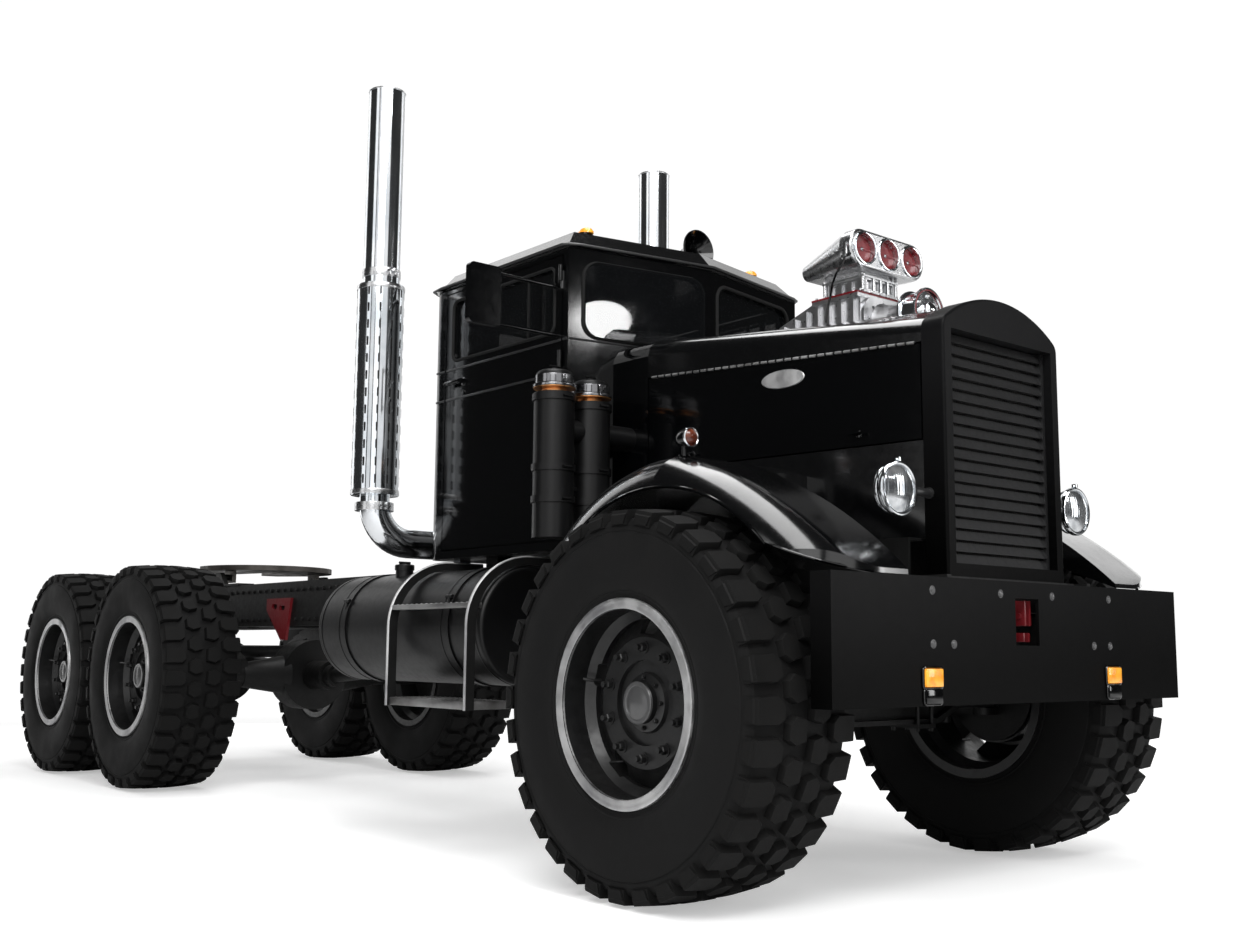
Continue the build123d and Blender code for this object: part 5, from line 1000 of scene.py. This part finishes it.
rail, seals = bmesh.new(), bmesh.new()
for side in LEFT_RIGHT:
    tube(rail, [spot(side, (x, station, RAIL_Z)) for x, station in RAIL_PATH], 0.0065, 10)
    run = Vector((side * SCREEN_RUN.x, SCREEN_RUN.y, 0))
    face = Vector((side * SCREEN_RUN.y, -SCREEN_RUN.x, 0))
    near, far, low, high = SCREEN
    middle = Vector((0, st(CAB_NOSE_ST), (low + high) / 2)) + run * ((near + far) / 2) + face * 0.001
    tube(seals, rounded_loop(middle, run, UP, far - near, high - low, 0.07, 10), 0.0085, 10, cap=False)
back_glass = rounded_loop((0, st(CAB_BACK_ST), 2.345), ACROSS, UP, 0.68, 0.26, 0.06, 10)
tube(seals, back_glass, 0.0085, 10, cap=False)
# the drip rail is a paler grey than the black cab: a painted highlight line along the roof's edge
fixed("drip_rail", rail, lamp_grey)
fixed("glass_seals", seals, seal_rubber)
for side, body in ((1, "door_l"), (-1, "door_r")):
    seal, trim, handle, mirror = (bmesh.new() for _ in range(4))
    window = spot(side, (CAB_X + 0.0005, 1.44, 2.3725))
    tube(seal, rounded_loop(window, (0, 1, 0), UP, 0.81, 0.295, 0.038, 8), 0.0075, 10, cap=False)
    post = spot(side, (0.7, 1.252, 2.3725))
    block_at(seal, post, (0.008, 0.007, 0.1465), 0.002)
    piece("window_seal_" + body, seal, seal_rubber, body)
    mouldings(trim, side, *DOOR_ST)
    for z in DOOR_HINGES_Z:
        bar(trim, spot(side, (CAB_X + 0.003, 0.981, z)), (0, 0, 0.04), 0.0085, 12)
    # the mouldings and hinges are a paler grey than the black door: painted highlight lines
    piece("door_trim_" + body, trim, lamp_grey, body)
    out = (side, 0, 0)
    tube(handle, [spot(side, p) for p in HANDLE], 0.0095, 14)
    lathe(handle, [(-0.001, 0), (-0.001, 0.021), (0.003, 0.02), (0.006, 0.014), (0.007, 0)],
          spot(side, (CAB_X, HANDLE[0][1], HANDLE[0][2])), out, 28)
    lathe(handle, [(-0.001, 0), (-0.001, 0.012), (0.003, 0.011), (0.004, 0)],
          spot(side, (CAB_X, HANDLE[0][1], KEYHOLE_Z)), out, 20)
    mid = spot(side, MIRROR)
    tube(handle, rounded_loop(mid, ACROSS, UP, 0.146, 0.24, 0.02), 0.004, 8, cap=False)
    piece("door_handle_" + body, handle, body_black, body)
    pane = mid + Vector((0, 0.0005, 0))
    block_at(mirror, pane, MIRROR_HALF, 0.001)
    piece("mirror_glass_" + body, mirror, rim_metal, body)
bm = bmesh.new()
for side in LEFT_RIGHT:
    mouldings(bm, side, 1.912, 1.985)
    mouldings(bm, side, 0.945, 0.974)
    tube(bm, [spot(side, (0.015, CAB_NOSE_ST, MOULDINGS_Z[0])),
              spot(side, (0.715, CAB_CORNER_ST - 0.001, MOULDINGS_Z[0]))], 0.005, 10)
# the belt mouldings are a paler grey than the black cab: painted highlight lines
fixed("cab_mouldings", bm, lamp_grey)

# ---- fuel tanks: caps, strap buckles, end seams ----
TANK_X = 0.742
TANK_Z = 0.952
TANK_R = 0.258
TANK_CAP = (0.802, 2.1, 1.238)
STRAPS_ST = (1.42, 2.33)
TANK_ENDS_ST = (1.195, 2.545)
BUCKLE_TURN = math.radians(28)      # how far up the tank's side the buckles sit
caps, seams = bmesh.new(), bmesh.new()
for side in LEFT_RIGHT:
    at = spot(side, TANK_CAP)
    lathe(caps, [(-0.012, 0), (-0.012, 0.047), (0.01, 0.047), (0.014, 0.044), (0.014, 0.03), (0.018, 0.028),
                 (0.018, 0)], at, UP, 24)
    bar(caps, at + Vector((0, 0, 0.024)), (0.03, 0, 0), 0.006)
    for station in STRAPS_ST:
        x = TANK_X + (TANK_R + 0.01) * math.cos(BUCKLE_TURN)
        z = TANK_Z + (TANK_R + 0.01) * math.sin(BUCKLE_TURN)
        bar(caps, spot(side, (x, station, z)), (0, 0.024, 0), 0.009, 12)
        tongue = ((x + 0.002, station, z), (x + 0.012, station, z - 0.075))
        tube(caps, [spot(side, p) for p in tongue], 0.006, 10)
    rings = [(station, TANK_R - 0.001, 0.012, 0.003) for station in TANK_ENDS_ST]
    rings += [(station + edge, TANK_R + 0.0045, 0.004, 0.0025)
              for station in STRAPS_ST for edge in (-0.0285, 0.0285)]
    for station, radius, width, thick in rings:
        band(seams, 0, radius, width, thick, spot(side, (TANK_X, station, TANK_Z)), (0, 1, 0), 72)
fixed("tank_caps", caps, tank_black, 30)
fixed("tank_seams", seams, tank_black)

# ---- exhausts: slots of painted shade down the shields, clamps, tip lip ----
STACK_X = 0.905
STACK_Y = st(2.23)
PIPE_R = 0.0908
SHIELD_R = 0.115
SLOT_TALL = 0.045
SLOT_HALF = 0.005
SLOTS_Z = [1.64 + 0.085 * i for i in range(12)]
SLOT_COLUMNS = 12
SLOT_CORNERS = 12
SHIELD_BANDS_Z = (1.605, 2.625)
CLAMPS_Z = (1.535, 2.7)
TIP_LIP = [(3.6465, 0.09), (3.6465, 0.093), (3.65, 0.0945), (3.6535, 0.093), (3.6545, 0.0885), (3.65, 0.0862)]


def shield_slot(bm, foot, turn, low):
    """One dark upright slot with round ends, laid on the shield at a turn about the stack: a dark patch of
    painted shade where the hole would be.
    """
    out = Vector((math.cos(turn), math.sin(turn), 0))
    across = Vector((-math.sin(turn), math.cos(turn), 0))
    outline = []
    for j in range(SLOT_CORNERS):
        t = 2 * math.pi * j / SLOT_CORNERS
        rise = (SLOT_TALL / 2 - SLOT_HALF) * (1 if math.sin(t) >= 0 else -1) + SLOT_HALF * math.sin(t)
        outline.append(foot + Vector((0, 0, low + SLOT_TALL / 2)) + across * SLOT_HALF * math.cos(t)
                       + Vector((0, 0, rise)))
    face, back = ([bm.verts.new(p + out * (SHIELD_R + proud)) for p in outline] for proud in (0.0008, -0.001))
    bm.faces.new(face)
    bm.faces.new(back[::-1])
    bridge(bm, [face, back])


slots, clamps = bmesh.new(), bmesh.new()
for side in LEFT_RIGHT:
    foot = Vector((side * STACK_X, STACK_Y, 0))
    for i in range(SLOT_COLUMNS):
        for low in SLOTS_Z:
            shield_slot(slots, foot, 2 * math.pi * i / SLOT_COLUMNS, low)
    for z in SHIELD_BANDS_Z:
        band(clamps, z, SHIELD_R, 0.022, 0.0035, foot, UP, 72)
    for z in CLAMPS_Z:
        band(clamps, z, PIPE_R, 0.04, 0.004, foot, UP, 64)
        bar(clamps, foot + Vector((0, -0.104, z)), (0.03, 0, 0), 0.006)
        for ear in (-0.015, 0.015):
            block_at(clamps, foot + Vector((ear, -0.099, z)), (0.005, 0.011, 0.018), 0.002)
    hoop(clamps, TIP_LIP, foot, UP, 64)
# the slots are dark patches on the shield's face: painted shade where the holes would show the gap behind
fixed("shield_slots", slots, chassis_black, 30)
fixed("stack_clamps", clamps, polished, 30)

# ---- frame: bolt rows on both rails ----
RAIL_X = 0.43
RAIL_BOLTS = 44
RAIL_BOLTS_FROM_ST = 2.78
RAIL_BOLT_GAP = 0.085
for side in LEFT_RIGHT:
    for z in (1.2, 1.02):
        seed = bmesh.new()
        hex_bolt(seed, spot(side, (RAIL_X, RAIL_BOLTS_FROM_ST, z)), (side, 0, 0), 0.0105, 0.011)
        step = Vector((0, RAIL_BOLT_GAP, 0))
        row("rail_bolts", seed, chassis_black, "chassis", RAIL_BOLTS, step)

# ---- air cleaners: band bolts, wing nuts, cap sleeves and the copper necks under them ----
CLEANERS = ((0.902, 1.895), (0.712, 1.875))     # x, top of the body
CLEANER_ST = 0.79
CLEANER_BANDS_Z = (1.455, 1.585)
fittings, caps, necks = (bmesh.new() for _ in range(3))
for side in LEFT_RIGHT:
    for x, top in CLEANERS:
        foot = spot(side, (x, CLEANER_ST, 0))
        for z in CLEANER_BANDS_Z + (top - 0.02,):
            bar(fittings, foot + Vector((0, -0.093, z)), (0.022, 0, 0), 0.005)
        lathe(fittings, [(top + 0.097, 0), (top + 0.097, 0.018), (top + 0.104, 0.017), (top + 0.108, 0.01),
                         (top + 0.109, 0)], foot, UP, 24)
        bar(fittings, foot + Vector((0, 0, top + 0.114)), (0.026, 0, 0), 0.0045)
        hoop(necks, [(top + 0.0205, 0.0515), (top + 0.0215, 0.087), (top + 0.019, 0.087),
                     (top + 0.018, 0.0515)], foot, UP, 56)
        band(necks, top + 0.01, 0.0502, 0.015, 0.0015, foot, UP, 48)
        band(caps, top + 0.055, 0.0783, 0.034, 0.0015, foot, UP, 56)
        band(caps, top + 0.028, 0.0882, 0.009, 0.001, foot, UP, 56)
fixed("cleaner_fittings", fittings, tank_black, 30)
fixed("cleaner_caps", caps, smoked_chrome)
fixed("cleaner_necks", necks, copper)

# ---- steps: side plates curved over the tank, their bright edges, treads with raised studs ---
STEP_X = 1.062
STEP_FOOT_Z = 0.6
STEP_TURN_Z = 0.78
STEP_INSIDE_X = 0.56
STEP_ARC = ((0.32, 0.295), (0.278, 0.264))     # reach and rise from the tank's middle, outer and inner edge
STEP_ARC_TURN = 94
STEP_ARC_STEPS = 24
STEP_PLATES_ST = (1.16, 1.79)
PLATE_HALF = 0.007
TREADS = ((0.985, 1.024, 0.022), (0.83, 0.602, 0.034))     # inner edge, low face, height
STUDS = 15
STUDS_FROM_ST = 1.195
STUD_GAP = 0.04
STUD_ROW_GAP = 0.03


def step_outline(side, reach, rise):
    """The plate's edge in a cross-section, from its foot up and over the tank."""
    points = [(side * (TANK_X + reach), STEP_FOOT_Z), (side * (TANK_X + reach), STEP_TURN_Z)]
    for i in range(STEP_ARC_STEPS + 1):
        a = math.radians(STEP_ARC_TURN * i / STEP_ARC_STEPS)
        points.append((side * (TANK_X + reach * math.cos(a)), TANK_Z + rise * math.sin(a)))
    points.append((side * STEP_INSIDE_X, TANK_Z + rise))
    return points


plates, edges, treads = (bmesh.new() for _ in range(3))
for side in LEFT_RIGHT:
    outer, inner = (step_outline(side, *arc) for arc in STEP_ARC)
    for station in STEP_PLATES_ST:
        rings = []
        for (xo, zo), (xi, zi) in zip(outer, inner):
            rings.append([plates.verts.new((x, st(station) + y, z)) for x, z, y in (
                (xo, zo, -PLATE_HALF), (xo, zo, PLATE_HALF), (xi, zi, PLATE_HALF), (xi, zi, -PLATE_HALF))])
        bridge(plates, rings)
        plates.faces.new(rings[0])
        plates.faces.new(rings[-1])
        tube(edges, [(x, st(station), z) for x, z in outer], 0.0072, 10)
    for inside, low, tall in TREADS:
        x0, x1 = sorted((side * inside, side * (STEP_X - 0.012)))
        block(treads, (x0, st(STEP_PLATES_ST[0]), low), (x1, st(STEP_PLATES_ST[1]), low + tall), 0.003)
        reach = inside + 0.022
        while reach < STEP_X - 0.02:
            for i in range(STUDS):
                at = spot(side, (reach, STUDS_FROM_ST + STUD_GAP * i, low + tall))
                dome(treads, at, UP, 0.0065, 0.003, 8)
            reach += STUD_ROW_GAP
fixed("step_plates", plates, chassis_black, stands_for="tank_steps")
fixed("step_edges", edges, rim_metal)
fixed("step_treads", treads, worn_steel)

# ---- cab inside: gauges and pedals ----
DASH_ST = 1.1405
DASH_Z = 2.104
DASH_OUT = Vector((0, 0.928, 0.371))
GAUGES_X = (-0.16, -0.06, 0.04, 0.14, 0.24, 0.34, 0.44)
PEDALS_X = (0.25, 0.34, 0.43)
rims, controls = bmesh.new(), bmesh.new()
for x in GAUGES_X:
    at = Vector((x, st(DASH_ST), DASH_Z))
    hoop(rims, [(-0.002, 0.03), (-0.002, 0.037), (0.006, 0.036), (0.007, 0.032), (0.004, 0.03)],
         at, DASH_OUT, 32)
    lathe(controls, [(-0.001, 0), (-0.001, 0.031), (0.002, 0.031), (0.002, 0)], at, DASH_OUT, 28)
for x in PEDALS_X:
    block(controls, (x - 0.028, st(0.985), 1.4), (x + 0.028, st(1.0), 1.48), 0.004)
    tube(controls, [(x, st(0.99), 1.47), (x, st(0.96), 1.64)], 0.007, 10)
fixed("gauge_rims", rims, chrome)
fixed("cab_controls", controls, cab_trim)

# ---- seat cushions: stuffed, then piped ----
SKIN = 0.009
SWELL = 0.022
PAD_CHAMFER = 0.032
SIM_FRAMES = 20
PRESSURE = 4.0
STIFFNESS = 12
SEAT_X = 0.34
# pads: across from the seat's middle, station, height
BASE_PAD = ((-0.234, 1.462, 1.614), (0.234, 1.866, 1.712))
BACK_PAD = ((-0.228, 1.896, 1.658), (0.228, 1.982, 2.202))
BASE_PIPING_Z = (1.63, 1.7)
BACK_PIPING_ST = (1.905, 1.972)
SEAMS = (-0.115, 0.0, 0.115)
STITCH = 0.02


def stuffed(name, blocks):
    """Closed pads blown up by cloth pressure from slightly smaller blocks."""
    bm = bmesh.new()
    for low, high in blocks:
        block(bm, low, high, PAD_CHAMFER)
    obj = bpy.data.objects.new(name, mesh_of(name, bm))
    bpy.context.scene.collection.objects.link(obj)
    skin = obj.modifiers.new("skin", "REMESH")
    skin.mode = "VOXEL"
    skin.voxel_size = SKIN
    made = plain_mesh(obj)
    obj.modifiers.remove(skin)
    obj.data = made
    start = [v.co.copy() for v in made.vertices]
    cloth = obj.modifiers.new("fill", "CLOTH")
    cloth.settings.quality = 6
    cloth.settings.mass = 0.3
    cloth.settings.tension_stiffness = STIFFNESS
    cloth.settings.compression_stiffness = STIFFNESS
    cloth.settings.use_pressure = True
    cloth.settings.uniform_pressure_force = PRESSURE
    cloth.settings.effector_weights.gravity = 0
    cloth.point_cache.frame_start = 1
    cloth.point_cache.frame_end = SIM_FRAMES
    for step in range(1, SIM_FRAMES + 1):
        bpy.context.scene.frame_set(step)
    blown = plain_mesh(obj)
    obj.modifiers.remove(cloth)
    bpy.context.scene.frame_set(1)
    for v, was in zip(blown.vertices, start):
        move = v.co - was
        if move.length > SWELL:
            v.co = was + move.normalized() * SWELL
    obj.data = blown
    smooth = obj.modifiers.new("smooth", "SUBSURF")
    smooth.levels = smooth.render_levels = 1
    done = plain_mesh(obj)
    bpy.data.objects.remove(obj)
    return done


def surface_of(mesh):
    hull = bmesh.new()
    hull.from_mesh(mesh)
    skin = BVHTree.FromBMesh(hull)
    hull.free()
    return skin


def piping(bm, skin, points, radius):
    """A cord sewn on a pad: each point is drawn to the pad's surface."""
    drawn = []
    for p in dense(points, STITCH):
        at = skin.find_nearest(p)[0]
        if not drawn or (at - drawn[-1]).length > 0.006:
            drawn.append(at)
    tube(bm, drawn, radius, 8)


for side, word in ((1, "left"), (-1, "right")):
    middle = side * SEAT_X
    pads = [[(middle + x, st(station), z) for x, station, z in pad] for pad in (BASE_PAD, BACK_PAD)]
    mesh = stuffed("cushions_" + word, pads)
    skin = surface_of(mesh)
    pad = settle("cushions_" + word, mesh, hide, "chassis", 60, "seat_cushions")
    bm = bmesh.new()
    for z in BASE_PIPING_Z:
        loop = rounded_loop((middle, st(1.664), z), ACROSS, (0, 1, 0), 0.468, 0.404, 0.04, 8)
        piping(bm, skin, loop, 0.0045)
    for station in BACK_PIPING_ST:
        loop = rounded_loop((middle, st(station), 1.93), ACROSS, UP, 0.456, 0.544, 0.05, 8)
        piping(bm, skin, loop, 0.0045)
    for shift in SEAMS:
        x = middle + shift
        piping(bm, skin, [(x, st(1.475), 1.76), (x, st(1.855), 1.76)], 0.003)
        piping(bm, skin, [(x, st(1.86), 1.7), (x, st(1.86), 2.17)], 0.003)
    fixed("seat_piping_" + word, bm, hide, 60)

# ---- camera ----
YAW = math.radians(40.27)
PITCH = math.radians(7.467)
ROLL = math.radians(0.4326)
FOCAL_PX = 1335.93
IMAGE_W = 1254.0
SENSOR_W = 36.0
EYE = Vector((-4.1641, st(-3.5255), 0.8597))
SHIFT_PX = (-0.14, 5.2753)

forward = Vector((math.sin(YAW) * math.cos(PITCH), math.cos(YAW) * math.cos(PITCH), math.sin(PITCH)))
right = Vector((math.cos(YAW), -math.sin(YAW), 0.0))
up = right.cross(forward)
right_rolled = right * math.cos(ROLL) + up * math.sin(ROLL)
up_rolled = up * math.cos(ROLL) - right * math.sin(ROLL)
camera_data = bpy.data.cameras.new("camera")
camera_data.sensor_fit = "HORIZONTAL"
camera_data.sensor_width = SENSOR_W
camera_data.lens = FOCAL_PX / IMAGE_W * SENSOR_W
camera_data.shift_x = -SHIFT_PX[0] / IMAGE_W
camera_data.shift_y = SHIFT_PX[1] / IMAGE_W
camera_data.clip_end = 200.0
camera = bpy.data.objects.new("camera", camera_data)
bpy.context.scene.collection.objects.link(camera)
camera.matrix_world = Matrix((right_rolled, up_rolled, -forward)).transposed().to_4x4()
camera.matrix_world.translation = EYE
bpy.context.scene.camera = camera

# ---- floor and light ----
FLOOR_HALF = 60
FLOOR_LIFT = 0.42           # the floor's own white, seen only by the camera
FAR_LIFT = 0.6              # added to it between these distances
FAR_FROM = 5.0
FAR_TO = 12.0
WHITE = rgb(1.0, 1.0, 1.0)


def white_floor():
    """A pale floor that keeps its shadows and runs into the white backdrop further out."""
    material = bpy.data.materials.new("floor_pale")
    graph = cleared(material)
    diffuse = graph.node("ShaderNodeBsdfDiffuse", {}, {"Color": rgb(0.8, 0.8, 0.8)})
    place = graph.node("ShaderNodeTexCoord", {}, {}, "Object")
    away = graph.node("ShaderNodeVectorMath", {"operation": "LENGTH"}, {0: place}, "Value")
    lift = graph.node("ShaderNodeMapRange", {}, {"Value": away, "From Min": FAR_FROM, "From Max": FAR_TO,
                                                 "To Min": FLOOR_LIFT, "To Max": FLOOR_LIFT + FAR_LIFT})
    seen = graph.node("ShaderNodeLightPath", {}, {}, "Is Camera Ray")
    glow = graph.node("ShaderNodeEmission", {}, {"Strength": lift * seen})
    both = graph.node("ShaderNodeAddShader", {}, {0: diffuse, 1: glow})
    graph.node("ShaderNodeOutputMaterial", {}, {"Surface": both})
    return material


floor_mesh = bpy.data.meshes.new("floor")
floor_mesh.from_pydata([(x * FLOOR_HALF, y * FLOOR_HALF, 0) for x, y in ((-1, -1), (1, -1), (1, 1), (-1, 1))],
                       [], [(0, 1, 2, 3)])
floor = bpy.data.objects.new("floor", floor_mesh)
bpy.context.scene.collection.objects.link(floor)
floor_mesh.materials.append(white_floor())


def area_light(name, at, aim, size, power, shape="RECTANGLE"):
    """A lamp that lights and mirrors, but isn't itself seen."""
    data = bpy.data.lights.new(name, "AREA")
    data.shape = shape
    data.size, data.size_y = size
    data.energy = power
    lamp = bpy.data.objects.new(name, data)
    bpy.context.scene.collection.objects.link(lamp)
    lamp.location = at
    lamp.rotation_euler = (Vector(aim) - Vector(at)).to_track_quat("-Z", "Y").to_euler()
    lamp.visible_camera = False
    lamp.visible_transmission = False


area_light("key", (-6.5, -7.5, 7.0), (-0.5, -2.0, 1.2), (6.0, 4.0), 480)
area_light("overhead", (-0.6, -1.5, 8.5), (-0.2, -1.0, 1.0), (3.4, 9.0), 420)
area_light("front_high", (-2.2, -9.6, 8.4), (-0.4, -4.0, 1.3), (4.0, 2.4), 300)
area_light("right_box", (5.5, -9.5, 3.0), (0.3, -2.5, 1.2), (1.6, 4.5), 150)
area_light("glass_card", (1.75, -9.6, 4.25), (-0.35, -2.85, 2.37), (0.62, 0.4), 14, "ELLIPSE")
PANEL_FAR = 10.0
PANEL_TALL = 11.0
PANEL_AT = Vector((-0.6, st(0.9), 5.6))
PANELS = (  # middle azimuth and half width in degrees, brightness of the cloth
    (174, 9, 1.2), (197, 9, 0.9), (222, 12, 1.4), (256, 16, 0.9), (4, 9, 1.2), (24, 9, 0.7), (60, 20, 1.2),
    (98, 10, 1.4),
)
for middle, half, glow in PANELS:
    way = Vector((math.cos(math.radians(middle)), math.sin(math.radians(middle)), 0))
    wide = 2 * PANEL_FAR * math.tan(math.radians(half))
    area_light("panel_%d" % middle, PANEL_AT + way * PANEL_FAR, PANEL_AT, (wide, PANEL_TALL),
               math.pi * wide * PANEL_TALL * glow)

BACKDROP = 1.02             # what the camera sees behind the truck
DIM = 0.03                  # what paint and chrome see beyond the lamps
world = bpy.data.worlds.new("studio")
bpy.context.scene.world = world
sky = cleared(world)
seen = sky.node("ShaderNodeLightPath", {}, {}, "Is Camera Ray")
plain = sky.node("ShaderNodeBackground", {}, {"Color": WHITE, "Strength": DIM})
white = sky.node("ShaderNodeBackground", {}, {"Color": WHITE, "Strength": BACKDROP})
mixed = sky.node("ShaderNodeMixShader", {}, {0: seen, 1: plain, 2: white})
sky.node("ShaderNodeOutputWorld", {}, {"Surface": mixed})
bpy.context.scene.view_settings.view_transform = "Standard"
